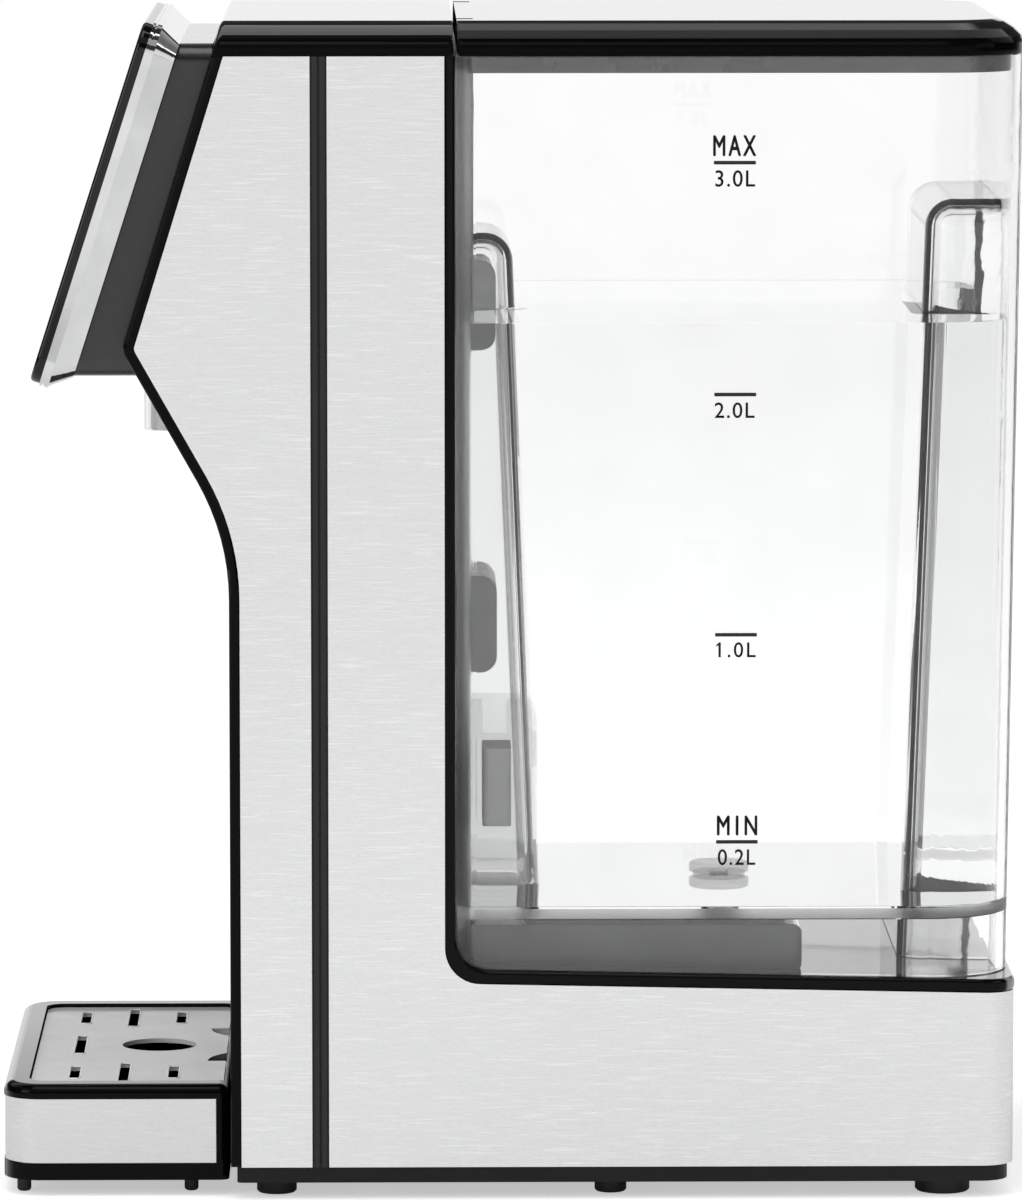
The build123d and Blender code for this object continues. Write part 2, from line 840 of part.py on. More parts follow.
def recess(front, bottom_y, top_y, top, width, grow):
    """Channel pressed into a tank wall, open at the bottom; grow adds a wall round it."""
    inward = 1 if top_y > front else -1
    low = deck_line(base_back) - overrun
    start = front - inward * overrun
    line = FilletPolyline(
        (bottom_y + inward * grow, low), (top_y + inward * grow, top + grow), (start, top + grow),
        radius=recess_round + grow,
    )
    outline = make_face(line + Polyline(line @ 1, (start, low), line @ 0))
    half = width / 2 + grow
    channel = side_prism(outline, -half, half)
    edges = channel.edges().filter_by(
        lambda e: abs(e.center().X) > half - fit_gap
        and inward * (e.center().Y - start) > overrun + fit_gap
        and e.center().Z > low + fit_gap
    )
    return fillet(edges, recess_side_round + grow)


def front_recess(grow):
    """Channel in the tank's front wall that straddles the guide lugs."""
    return recess(
        tank_front, tank_front + front_recess_depth_bottom, tank_front + front_recess_depth_top,
        front_recess_top, front_recess_width, grow,
    )


def rear_recess(grow):
    """Channel in the tank's back wall that a hand grips."""
    return recess(
        tank_back, tank_back - rear_recess_depth_bottom, tank_back - rear_recess_depth_top,
        rear_recess_top, rear_recess_width, grow,
    )


def tank_shell():
    """Clear tank: drafted walls, both channels, floor, skirt, valve boss and hinge ears."""
    bottom = deck_line(base_back)
    tank = tank_block(0, bottom, tank_top) - front_recess(0) - rear_recess(0)
    cavity = tank_block(tank_wall, floor_top, tank_top + overrun)
    tank -= cavity - front_recess(tank_wall) - rear_recess(tank_wall)
    skirt = tank_block(tank_wall, bottom - overrun, tank_floor_height)
    tank -= skirt - rear_recess(tank_wall)
    front_half = half_width - pedestal_inset + cradle_inner_round / 2
    tank -= block(
        -front_half, front_half, tank_front - overrun, tank_front + tank_wall + overrun,
        bottom - overrun, tank_floor_height,
    )
    tank -= side_prism(tank_ground_face(), -body_width, body_width)
    boss_bottom = tank_floor_height - valve_boss_drop
    boss = rod((0, valve_y, boss_bottom), (0, valve_y, tank_floor_height), valve_boss_diameter)
    boss -= rod(
        (0, valve_y, boss_bottom), (0, valve_y, tank_floor_height),
        valve_boss_diameter - 2 * valve_boss_wall,
    )
    tank += boss
    tank -= rod((0, valve_y, tank_floor_height - overrun), (0, valve_y, floor_top + overrun), valve_bore)
    guide = rod((0, valve_y, tank_floor_height), (0, valve_y, tank_floor_height + valve_web), valve_bore)
    guide -= rod(
        (0, valve_y, tank_floor_height), (0, valve_y, floor_top), valve_stem_diameter + fit_gap
    )
    gap = (valve_bore - valve_stem_diameter) / 4
    reach = valve_stem_diameter / 2 + gap
    for x, y in ((reach, 0), (-reach, 0), (0, reach), (0, -reach)):
        guide -= rod(
            (x, valve_y + y, tank_floor_height), (x, valve_y + y, floor_top), gap
        )
    tank += guide
    for x in ear_places():
        x0, x1 = x - hinge_ear_width / 2, x + hinge_ear_width / 2
        ear = block(x0, x1, tank_front, tank_front + tank_wall, tank_top, hinge_z)
        ear += block(
            x0, x1, tank_front, hinge_y + hinge_ear_radius, hinge_z - 2 * hinge_ear_radius, hinge_z
        )
        knuckle = rod(
            (x - hinge_ear_width / 2, hinge_y, hinge_z), (x + hinge_ear_width / 2, hinge_y, hinge_z),
            2 * hinge_ear_radius,
        )
        tank += ear + knuckle
    for x in ear_places():
        tank -= rod(
            (x - hinge_ear_width, hinge_y, hinge_z), (x + hinge_ear_width, hinge_y, hinge_z),
            hinge_pin_diameter,
        )
    return tank


def tank_ground_face():
    """(Y, Z) face of what lies under the tank, a gap above the deck and its rounded corner."""
    line = FilletPolyline(
        (tank_front, deck_height + 2 * cradle_inner_round), (tank_front, deck_line(tank_front) + fit_gap),
        (tank_back + overrun, deck_line(tank_back + overrun) + fit_gap),
        radius=cradle_inner_round,
    )
    low = deck_line(base_back) - 2 * overrun
    rest = Polyline(
        line @ 1, (tank_back + overrun, low), (tank_front - overrun, low),
        (tank_front - overrun, deck_height + 2 * cradle_inner_round), line @ 0,
    )
    return make_face(line + rest)


def ear_places():
    """Centres of the two hinge ears across the tank."""
    return (-hinge_offset, hinge_offset)


def hinge_pins():
    """Pins pressed into the ears that the lid turns on."""
    pins = []
    for x in ear_places():
        inward = -1 if x > 0 else 1
        outer = x - inward * hinge_ear_width / 2
        pins.append(rod(
            (outer, hinge_y, hinge_z), (outer + inward * hinge_pin_length, hinge_y, hinge_z),
            hinge_pin_diameter,
        ))
    return pins


def valve_plunger():
    """Mushroom plunger: cap over the floor, stem through it and a collar under it."""
    cap_bottom = floor_top + valve_washer_height
    tip = floor_top - valve_stem_drop
    plunger = rod((0, valve_y, cap_bottom), (0, valve_y, cap_bottom + valve_cap_height), valve_cap_diameter)
    plunger = fillet(plunger.edges().group_by(Axis.Z)[-1], valve_washer_height)
    plunger += rod((0, valve_y, tip), (0, valve_y, cap_bottom + valve_cap_height), valve_stem_diameter)
    return plunger + rod((0, valve_y, tip), (0, valve_y, tip + valve_collar_height), valve_collar_diameter)


def valve_washer():
    """Rubber washer under the plunger's cap."""
    ends = ((0, valve_y, floor_top), (0, valve_y, floor_top + valve_washer_height))
    return rod(*ends, valve_washer_diameter) - rod(*ends, valve_stem_diameter)


def valve_spring():
    """Coil that pulls the washer down on the floor when the tank is lifted off."""
    bottom = floor_top - valve_stem_drop + valve_collar_height
    top = tank_floor_height
    middle = (valve_stem_diameter + spring_wire) / 2 + fit_gap + spring_wire / 2
    height = top - bottom - 2 * spring_wire
    pitch = height / spring_turns
    path = Helix(pitch, height, middle, center=(0, valve_y, bottom + spring_wire))
    section = Plane(origin=path @ 0, z_dir=path % 0) * RegularPolygon(spring_wire / 2, spring_sides)
    return sweep(section, path)


def float_cage():
    """Clear cage that keeps the level float at the tank's front wall."""
    half = cage_width / 2
    front = tank_front + tank_wall
    back = tank_front + tank_wall + cage_depth
    top = floor_top + cage_height
    cage = block(cage_offset - half, cage_offset + half, front, back, floor_top, top)
    cage = fillet(cage.edges().filter_by(Axis.X).group_by(Axis.Y)[-1].group_by(Axis.Z)[-1], recess_round)
    cage -= block(
        cage_offset - half + cage_wall, cage_offset + half - cage_wall, front - overrun, back - cage_wall,
        floor_top - overrun, top - cage_wall,
    )
    window = cage_window / 2
    for z in (floor_top, top - cage_wall - 2 * cage_window_height):
        cage -= block(
            cage_offset - window, cage_offset + window, back - 2 * cage_wall, back + overrun,
            z, z + cage_window_height,
        )
    stop = front + cage_stop_set
    return cage + block(
        cage_offset - half, cage_offset + half, stop, stop + cage_stop_depth,
        top - cage_stop_height, top - cage_wall,
    )


def level_float():
    """Float with a socket for its magnet."""
    half = cage_width / 2 - cage_wall - float_gap
    front = tank_front + tank_wall + float_set
    bottom = floor_top + float_lift
    body = block(
        cage_offset - half, cage_offset + half, front, front + float_depth, bottom, bottom + float_height
    )
    body = fillet(body.edges().filter_by(Axis.Z), float_round)
    return body - rod(magnet_place(-overrun), magnet_place(magnet_length), magnet_diameter)


def magnet_place(depth):
    """Point on the magnet's axis, at a depth in the float."""
    front = tank_front + tank_wall + float_set
    return (cage_offset, front + depth, floor_top + float_lift + magnet_diameter)


def float_magnet():
    """Magnet in the float's front face."""
    return rod(magnet_place(0), magnet_place(magnet_length), magnet_diameter)


def reed_switch():
    """Level switch on the tower side of the cradle wall, opposite the magnet."""
    middle = magnet_place(0)[-1]
    return block(
        cage_offset - reed_width / 2, cage_offset + reed_width / 2, cradle_front - reed_depth, cradle_front,
        middle - reed_height / 2, middle + reed_height / 2,
    )


def shoulder_points():
    """Points up the shoulder: share of its width from the edge, and height."""
    low = shoulder_height + lid_edge_height
    rise = overall_height - low
    turns = [step * radians(90) / lid_shoulder_steps for step in range(lid_shoulder_steps)]
    points = [
        (1 - cos(turn) ** lid_shoulder_power, low + rise * sin(turn) ** lid_shoulder_power)
        for turn in turns
    ]
    return points + [(1, overall_height)]


def lid_section(share_in, height):
    """Plan outline of the lid, between its full outline and the flat of its top."""
    side = share_in * (half_width - lid_flat_width / 2)
    back = back_y - share_in * lid_flat_back
    back_round = tank_back_round + share_in * (lid_flat_round - tank_back_round)
    return plan_face(half_width - side, lid_front, back, fit_gap, back_round, height)


def lid_shell():
    """Black lid with falling shoulders, hollow behind the solid hinge bar."""
    lid = extrude(lid_section(0, shoulder_height), lid_edge_height)
    lid += loft([lid_section(share, height) for share, height in shoulder_points()], ruled=True)
    hollow_half = lid_flat_width / 2
    hollow_front = lid_front + hinge_bar_depth
    hollow = extrude(
        plan_face(
            hollow_half, hollow_front, back_y - lid_flat_back - lid_thickness,
            lid_flat_round / 2, lid_flat_round, shoulder_height - overrun,
        ),
        overrun + overall_height - shoulder_height - lid_thickness,
    )
    lid -= hollow
    low = shoulder_height - lid_edge_relief
    lid -= side_prism(
        side_polygon([
            (lid_front - lid_edge_relief, low), (lid_front + 2 * lid_edge_relief, low),
            (lid_front - lid_edge_relief, shoulder_height + 2 * lid_edge_relief),
        ]),
        -half_width, half_width,
    )
    relief = hinge_ear_radius + fit_gap
    for x in ear_places():
        half = hinge_ear_width / 2 + fit_gap
        lid -= block(
            x - half, x + half, lid_front - overrun, hinge_y + relief, shoulder_height - overrun,
            overall_height + overrun,
        )
    bore = hinge_pin_diameter + 2 * hinge_clearance
    reach = hinge_offset + hinge_ear_width - hinge_pin_length - overrun
    for side in (-1, 1):
        lid -= rod((side * hinge_offset, hinge_y, hinge_z), (side * reach, hinge_y, hinge_z), bore)
    return lid


def lid_plug():
    """Inner rim of the lid that drops into the tank's mouth."""
    inset = tank_wall + plug_gap
    bottom = shoulder_height - plug_depth
    front = lid_front + hinge_bar_depth
    outer = extrude(
        plan_face(half_width - tank_side_margin - inset, tank_front + inset, tank_back - inset,
                  tank_front_round - inset, tank_back_round - inset, bottom),
        plug_depth,
    )
    inner = extrude(
        plan_face(lid_flat_width / 2 - plug_wall, front + plug_wall,
                  back_y - lid_flat_back - lid_thickness - plug_wall,
                  lid_flat_round / 2, lid_flat_round, bottom - overrun),
        plug_depth + overrun - plug_wall,
    )
    return outer - inner


def top_cover():
    """Black cover of the tower with the same shoulders as the lid."""
    flat = lid_flat_width / 2
    right = [(half_width - share * (half_width - flat), height) for share, height in shoulder_points()]
    left = [(-x, height) for x, height in right]
    foot = Polyline(left[0], (-half_width, shoulder_height), (half_width, shoulder_height), right[0])
    face = make_face(foot + Spline(*right) + Line(right[-1], left[-1]) + Spline(*left))
    cover = extrude(Plane.XZ.offset(-cover_back) * face, cover_back - cover_front + overrun)
    front = side_polygon([
        (cover_front - 2 * overrun, shoulder_height - overrun), (cover_front, shoulder_height),
        (cover_front + cover_lean, overall_height), (cover_front + cover_lean, overall_height + overrun),
        (cover_front - 2 * overrun, overall_height + overrun),
    ])
    cover -= side_prism(front, -body_width, body_width)
    lip = cover.edges().filter_by(Axis.X).group_by(Axis.Y)[0:2]
    top_edge = [e for group in lip for e in group if e.center().Z > overall_height - fit_gap]
    cover = fillet(top_edge, cover_lean)
    cover -= block(
        -flat, flat, cover_front + cover_lean + cover_front_round, cover_back - cover_wall,
        shoulder_height - overrun, overall_height - cover_wall,
    )
    return cover


def head_plane():
    """Plane of the glass: +X across, +Y up along it, +Z out of it."""
    lean = radians(head_lean)
    foot = Vector(0, knee_y - glass_reach, knee_height - glass_drop)
    up = Vector(0, sin(lean), cos(lean))
    return Plane(
        origin=foot + up * (glass_height / 2), x_dir=(1, 0, 0), z_dir=(0, -cos(lean), sin(lean))
    )


def head_block(half_x, low, high, near, far, corner):
    """Rounded block in the glass's own plane, between two depths behind its face."""
    face = Pos(0, (low + high) / 2) * RectangleRounded(2 * half_x, high - low, corner)
    return head_plane().offset(-far) * extrude(face, far - near)


def bezel_back_span():
    """Lower and upper edge of the bezel's back, along the glass, level with the housing."""
    lean = radians(head_lean)
    middle = head_plane().offset(-glass_thickness - bezel_depth).origin.Z
    return (head_bottom - middle) / cos(lean), (head_top - middle) / cos(lean)


def head_housing():
    """Satin sleeve between the tower's brow and the bezel, with rounded long edges."""
    height = head_top - head_bottom
    middle = (head_top + head_bottom) / 2
    outer = RectangleRounded(head_width, height, head_round)
    inner = RectangleRounded(
        head_width - 2 * head_wall, height - 2 * head_wall, head_round - head_wall
    )
    end = cover_front + overrun
    reach = knee_y - glass_reach - overrun
    sleeve = extrude(Plane.XZ.offset(-end) * Pos(0, middle) * (outer - inner), end - reach)
    plane = head_plane().offset(-glass_thickness - bezel_depth)
    sleeve -= plane * Pos(0, 0, overall_depth / 2) * Box(body_width, overall_depth, overall_depth)
    corners = contour_corners(0, pan_top, shoulder_height)
    past = cover_front + 3 * overrun
    behind = side_polygon([
        corners[1], corners[2], corners[3], (cover_front, overall_height), (past, overall_height),
        (past, corners[1][1]),
    ])
    sleeve -= side_prism(behind, -body_width, body_width)
    return sleeve - rod(
        (0, spout_y, spout_tip), (0, spout_y, holder_height), sleeve_diameter + 2 * fit_gap
    )


def head_bezel():
    """Chrome frame: a lip behind the glass, then a taper down to the housing."""
    low, high = bezel_back_span()
    half = glass_height / 2 + bezel_lip_margin
    lip_end = glass_thickness + bezel_lip
    end = glass_thickness + bezel_depth
    half_x = glass_width / 2 + bezel_lip_margin
    corner = glass_round + bezel_lip_margin
    bezel = head_block(half_x, -half, half, glass_thickness, lip_end, corner)
    near = glass_thickness + bezel_groove_set
    far = near + bezel_groove
    groove = head_block(half_x + overrun, -half - overrun, half + overrun, near, far, corner)
    bezel -= groove - head_block(
        half_x - bezel_groove, bezel_groove - half, half - bezel_groove, near, far, corner - bezel_groove
    )
    plane = head_plane()
    start = plane.offset(-lip_end) * RectangleRounded(
        glass_width, glass_height, glass_round
    )
    finish = plane.offset(-end) * Pos(0, (low + high) / 2) * RectangleRounded(
        glass_width - 2 * bezel_side_taper, high - low, head_round
    )
    bezel += loft([start, finish])
    window_low, window_high = low + bezel_window, high - bezel_window
    return bezel - head_block(
        head_width / 2 - bezel_window, window_low, window_high, 0, end + overrun, head_round
    )


def control_glass():
    """Black glass with the touch controls behind it."""
    half = glass_height / 2
    glass = head_block(glass_width / 2, -half, half, 0, glass_thickness, glass_round)
    face = glass.faces().sort_by(Axis(head_plane().origin, head_plane().z_dir))[-1]
    return fillet(face.edges(), glass_edge_round)


def display_board():
    """Circuit board behind the glass with its digit block and touch pads."""
    low, high = bezel_back_span()
    half = head_width / 2 - bezel_window - board_margin
    low += bezel_window + board_margin
    high -= bezel_window + board_margin
    near = glass_thickness + board_set
    board = head_block(half, low, high, near, near + board_thickness, head_round)
    middle = (low + high) / 2
    digit = head_block(
        led_width / 2, middle, middle + led_height, glass_thickness, near, board_margin
    )
    board += digit
    for row in (1, 2):
        for column in (-1, 0, 1):
            pad = head_plane() * Pos(
                column * touch_pad_pitch, middle - row * touch_pad_drop / 2, -near
            )
            board += pad * Cylinder(
                touch_pad_diameter / 2 - row, board_set, align=(Align.CENTER, Align.CENTER, Align.MIN)
            )
    return board


def spout_sleeve():
    """Clear tube round the nozzle, through the chin of the fascia."""
    ends = ((0, spout_y, spout_tip), (0, spout_y, holder_height))
    return rod(*ends, sleeve_diameter) - rod(*ends, sleeve_diameter - 2 * sleeve_wall)


def spout_nozzle():
    """Steel outlet tube that the hose pushes onto."""
    ends = ((0, spout_y, spout_tip), (0, spout_y, spout_tip + nozzle_rise))
    return rod(*ends, nozzle_diameter) - rod(*ends, nozzle_bore)


def spout_holder():
    """Bracket inside the knee that grips the nozzle."""
    plate = block(
        -holder_width / 2, holder_width / 2, knee_y + holder_front, knee_y + holder_front + holder_depth,
        holder_height, holder_height + holder_thickness,
    )
    plate = fillet(plate.edges().filter_by(Axis.Z), holder_front)
    return plate - rod(
        (0, spout_y, holder_height), (0, spout_y, holder_height + holder_thickness), nozzle_diameter
    )


def heater():
    """Through-flow heater: steel barrel."""
    return rod(
        (0, heater_y, heater_bottom), (0, heater_y, heater_bottom + heater_length), heater_diameter
    )


def heater_caps():
    """End caps of the heater with their hose spigots."""
    caps = []
    cap_diameter = heater_diameter + 2 * heater_cap_overlap
    for face, out in ((heater_bottom, -1), (heater_bottom + heater_length, 1)):
        cap = rod((0, heater_y, face), (0, heater_y, face + out * heater_cap_height), cap_diameter)
        cap = chamfer(cap.edges().group_by(Axis.Z)[-1 if out > 0 else 0], heater_cap_overlap)
        start = face + out * heater_cap_height
        cap += rod((0, heater_y, start), (0, heater_y, start + out * heater_spigot), spigot_diameter)
        cap -= rod((0, heater_y, face), (0, heater_y, start + out * heater_spigot), spigot_bore)
        caps.append(cap)
    return caps


def heater_brackets():
    """Straps round the heater, screwed to the cradle wall."""
    straps = []
    for share in bracket_heights_share:
        z = heater_bottom + share * heater_length - bracket_width / 2
        ends = ((0, heater_y, z), (0, heater_y, z + bracket_width))
        strap = rod(*ends, heater_diameter + 2 * bracket_thickness)
        half = heater_diameter / 2 + bracket_thickness
        strap += block(-half, half, cradle_front - bracket_thickness, cradle_front, z, z + bracket_width)
        strap += block(
            -bracket_width / 2, bracket_width / 2, heater_y, cradle_front, z, z + bracket_width
        )
        straps.append(strap - rod(*ends, heater_diameter))
    return straps


def thermostats():
    """Two cut-outs and their tabs on the heater's side."""
    pieces = []
    surface = heater_diameter / 2
    for share, side in zip(thermostat_share, (-1, 1)):
        z = heater_bottom + share * heater_length
        start, end = side * (surface - fit_gap), side * (surface + thermostat_height)
        body = rod((start, heater_y, z), (end, heater_y, z), thermostat_diameter)
        body -= rod(
            (0, heater_y, heater_bottom), (0, heater_y, heater_bottom + heater_length), heater_diameter
        )
        for offset in (-1, 1):
            y = heater_y + offset * terminal_width / 2
            x0, x1 = sorted((end, end + side * terminal_length / 2))
            body += block(
                x0, x1, y - terminal_thickness / 2, y + terminal_thickness / 2,
                z - terminal_width / 2, z + terminal_width / 2,
            )
        pieces.append(body)
    return pieces


def pump_axis(distance):
    """Point on the pump's axis, at a distance behind the motor's front."""
    return (-pump_offset, tank_front + pump_front + distance, pump_height)


def pump_motor():
    """Motor can with its shaft bore, shaft and front bush."""
    can = rod(pump_axis(0), pump_axis(pump_length), pump_diameter)
    can = fillet(can.edges().group_by(Axis.Y)[0], pump_shaft)
    can += rod(pump_axis(-pump_shaft), pump_axis(0), pump_diameter / 3)
    start = pump_length - impeller_hub
    bore = pump_shaft + 2 * pump_shaft_clearance
    return can - rod(pump_axis(start), pump_axis(pump_length + overrun), bore)


def pump_head():
    """Pump chamber with an axial inlet and an outlet to the side."""
    start, end = pump_length, pump_length + pump_head_length
    head = rod(pump_axis(start), pump_axis(end), pump_head_diameter)
    head += rod(pump_axis(end), pump_axis(end + pump_port), spigot_diameter)
    x, y, z = pump_outlet(0)
    head += rod((-pump_offset, y, z), pump_outlet(pump_port), spigot_diameter)
    head -= rod(
        pump_axis(start + pump_wall), pump_axis(end - pump_wall), pump_head_diameter - 2 * pump_wall
    )
    head -= rod(pump_axis(start), pump_axis(start + pump_wall), pump_shaft + 2 * pump_shaft_clearance)
    head -= rod(pump_axis(end - pump_wall), pump_axis(end + pump_port), spigot_bore)
    return head - rod((x - pump_wall * 2, y, z), pump_outlet(pump_port), spigot_bore)


def pump_outlet(distance):
    """Point on the pump's outlet, at a distance outside the chamber."""
    x, y = pump_axis(pump_length + pump_head_length / 2)[:2]
    return (x + pump_head_diameter / 2 - pump_wall / 2 + distance, y, hose_low)


def pump_impeller():
    """Vaned disc and shaft inside the pump chamber."""
    start = pump_length + pump_wall + impeller_gap
    end = pump_length + pump_head_length - pump_wall - impeller_gap
    radius = pump_head_diameter / 2 - pump_wall - impeller_gap
    wheel = rod(pump_axis(start), pump_axis(start + impeller_disc), 2 * radius)
    wheel += rod(pump_axis(start), pump_axis(end), impeller_hub)
    x, y, z = pump_axis(start)
    vane = block(
        x + impeller_hub / 2 - impeller_disc, x + radius - impeller_vane, y, pump_axis(end)[1],
        z - impeller_vane / 2, z + impeller_vane / 2,
    )
    axis = Axis((x, y, z), (0, 1, 0))
    for place in range(impeller_vanes):
        wheel += vane.rotate(axis, place * 360 / impeller_vanes)
    return wheel + rod(pump_axis(pump_length - impeller_hub + impeller_gap), pump_axis(end), pump_shaft)


def pump_cushion():
    """Rubber saddle between the pump motor and the pan."""
    x, y, z = pump_axis((pump_length - cushion_length) / 2)
    saddle = block(
        x - cushion_width / 2, x + cushion_width / 2, y, y + cushion_length, foot_height + pan_floor, z
    )
    return saddle - rod(pump_axis(0), pump_axis(pump_length), pump_diameter)


def hose(points, bends):
    """Round hose with its bore, along straight runs joined by arcs."""
    path = FilletPolyline(*points, radius=bends)
    plane = Plane(origin=path @ 0, z_dir=path % 0)
    return sweep(plane * (Circle(hose_diameter / 2) - Circle(hose_bore / 2)), path)


def inlet_hose():
    """From the socket's spigot round to the pump's inlet."""
    top = pedestal_height - socket_depth
    end = pump_axis(pump_length + pump_head_length)
    return hose(
        [
            (0, valve_y, top), (0, valve_y, pump_height), (0, end[1] + hose_loop, pump_height),
            (end[0], end[1] + hose_loop, pump_height), end,
        ],
        [hose_bend, hose_bend, hose_bend],
    )


def feed_hose():
    """From the pump forward and up to the bottom of the heater."""
    start = pump_outlet(0)
    return hose(
        [
            start, (0, start[1], hose_low), (0, heater_y, hose_low),
            (0, heater_y, heater_bottom - heater_cap_height),
        ],
        [hose_bend, riser_bend],
    )


def outlet_hose():
    """From the top of the heater to the nozzle."""
    return hose(
        [
            (0, heater_y, heater_bottom + heater_length + heater_cap_height),
            (0, heater_y, outlet_hose_height), (0, spout_y, outlet_hose_height),
            (0, spout_y, spout_tip + nozzle_rise),
        ],
        [hose_bend, hose_bend],
    )


def power_board():
    """Main board on its posts, with relay, capacitor and coil."""
    x = casing_inside - power_board_gap - board_thickness
    front = board_front()
    top = power_board_bottom + power_board_height
    board = block(x, x + board_thickness, front, front + power_board_length, power_board_bottom, top)
    middle = front + power_board_length / 2
    depth, length, height = relay_size
    low = power_board_bottom + length
    board += block(x - depth, x, middle - length / 2, middle + length / 2, low, low + height)
    depth, length, height = coil_size
    low = top - 2 * height
    board += block(x - depth, x, middle - length / 2, middle + length / 2, low, low + height)
    z = (power_board_bottom + top) / 2
    return board + rod((x, middle, z), (x - capacitor_height, middle, z), capacitor_diameter)


def terminal_block():
    """Mains terminals on the pan behind the pump."""
    width, depth, height = terminal_block_size
    back = base_back - half_width + casing_inside - gland_length
    bottom = foot_height + pan_floor
    body = block(
        -gland_offset - width / 2, -gland_offset + width / 2, back - 2 * depth, back - depth,
        bottom, bottom + height,
    )
    middle = back - depth - depth / 2
    for x in (-gland_offset - width / 4, -gland_offset + width / 4):
        body -= rod((x, middle, bottom + height / 2), (x, middle, bottom + height), terminal_width / 2)
    return body


def cord_gland():
    """Bush in the back wall for the mains cord."""
    back_face = base_back - panel_recess
    inner = base_back - half_width + casing_inside
    start = (-gland_offset, inner - gland_length / 2, gland_height)
    gland = rod(start, (-gland_offset, back_face, gland_height), gland_body)
    gland += rod(
        (-gland_offset, back_face, gland_height),
        (-gland_offset, back_face + gland_flange_thickness, gland_height), gland_flange,
    )
    gland = chamfer(gland.edges().group_by(Axis.Y)[-1], gland_flange_thickness / 3)
    return gland - rod(start, (-gland_offset, back_face + overrun, gland_height), gland_bore)


def tray_body():
    """Black drip pan with its rim, grille ledge, band recess and locating tongues."""
    half = tray_width / 2
    height = tray_top - tray_bottom
    tray = extrude(
        plan_face(half, front_y, tray_back, tray_front_round, tray_back_round, tray_bottom), height
    )
    tray = fillet(tray.edges().group_by(Axis.Z)[-1], tray_edge_round)
    inset = band_recess + band_thickness
    band_bottom = tray_bottom + tray_strip
    outside = extrude(
        plan_face(half + overrun, front_y - overrun, tray_back - band_stop,
                  tray_front_round, fit_gap, band_bottom),
        band_height,
    )
    core = extrude(
        plan_face(half - inset, front_y + inset, tray_back + overrun,
                  tray_front_round - inset, fit_gap, band_bottom),
        band_height,
    )
    tray -= outside - core
    seat_z = tray_top - grille_sink - grille_thickness
    seat_half = grille_width / 2 + grille_gap
    tray -= extrude(
        plan_face(seat_half, front_y + grille_front - grille_gap, tray_back - grille_back + grille_gap,
                  grille_corner, grille_corner / 2, seat_z),
        overrun,
    )
    basin_half = half - tray_wall - ledge_drop
    tray -= extrude(
        plan_face(basin_half, front_y + tray_wall + ledge_drop, tray_back - tray_wall,
                  grille_corner, grille_corner / 2, tray_bottom + tray_floor),
        height,
    )
    for side in (-1, 1):
        x = side * tongue_offset
        tray += block(
            x - tongue_width / 2, x + tongue_width / 2, tray_back - tray_wall / 2, tray_back + tongue_reach,
            tongue_height, tongue_height + tongue_thickness,
        )
    return tray


def tray_band():
    """Brushed steel band round the front and sides of the tray."""
    outer_inset, inner_inset = band_recess, band_recess + band_thickness
    bottom = tray_bottom + tray_strip
    half = tray_width / 2
    outer = plan_face(
        half - outer_inset, front_y + outer_inset, tray_back - band_stop,
        tray_front_round - outer_inset, fit_gap, bottom,
    )
    inner = plan_face(
        half - inner_inset, front_y + inner_inset, tray_back + overrun,
        tray_front_round - inner_inset, fit_gap, bottom,
    )
    return extrude(outer - inner, band_height)


def tray_feet():
    """Small pads under the tray."""
    feet = []
    x = tray_width / 2 - tray_foot_inset
    for setback in tray_foot_setbacks:
        for side in (-1, 1):
            y = front_y + setback
            foot = rod((side * x, y, 0), (side * x, y, tray_bottom), tray_foot_diameter)
            feet.append(fillet(foot.edges().group_by(Axis.Z)[0], tray_foot_diameter / 4))
    return feet


def slot(x, y, length):
    """Rounded slot through the grille, running across the object."""
    tool = Pos(x, y, tray_top - grille_sink - grille_thickness / 2) * Box(
        length, slot_width, overrun
    )
    return fillet(tool.edges().filter_by(Axis.Z), slot_width / 4)


def grille_slots():
    """Centre and length of each slot."""
    first = front_y + slot_setback
    places = [(0, first, slot_long)]
    for x in (-slot_row, slot_row):
        for column in range(3):
            length = slot_long if column == 1 else slot_short
            places.append((x, first + column * slot_pitch, length))
    return places


def tray_grille():
    """Steel drip plate with slots, the finger ring and the curved notches at the back."""
    bottom = tray_top - grille_sink - grille_thickness
    front, back = front_y + grille_front, tray_back - grille_back
    plate = extrude(
        plan_face(grille_width / 2, front, back, grille_corner - grille_gap, grille_corner / 2, bottom),
        grille_thickness,
    )
    for x, y, length in grille_slots():
        plate -= slot(x, y, length)
    y = front_y + ring_setback
    plate -= rod((0, y, bottom - overrun), (0, y, bottom + overrun), ring_hole)
    tip, inner = notch_half_width, notch_inner_share * notch_half_width
    start = back - notch_depth
    for side in (-1, 1):
        curve = ThreePointArc(
            (side * tip, start), (side * (tip + inner) / 2, back - notch_middle_share * notch_depth),
            (side * inner, back + overrun),
        )
        rest = Polyline(curve @ 1, (side * tip, back + overrun), curve @ 0)
        plate -= Pos(0, 0, bottom - overrun) * extrude(make_face(curve + rest), 2 * overrun)
    return plate


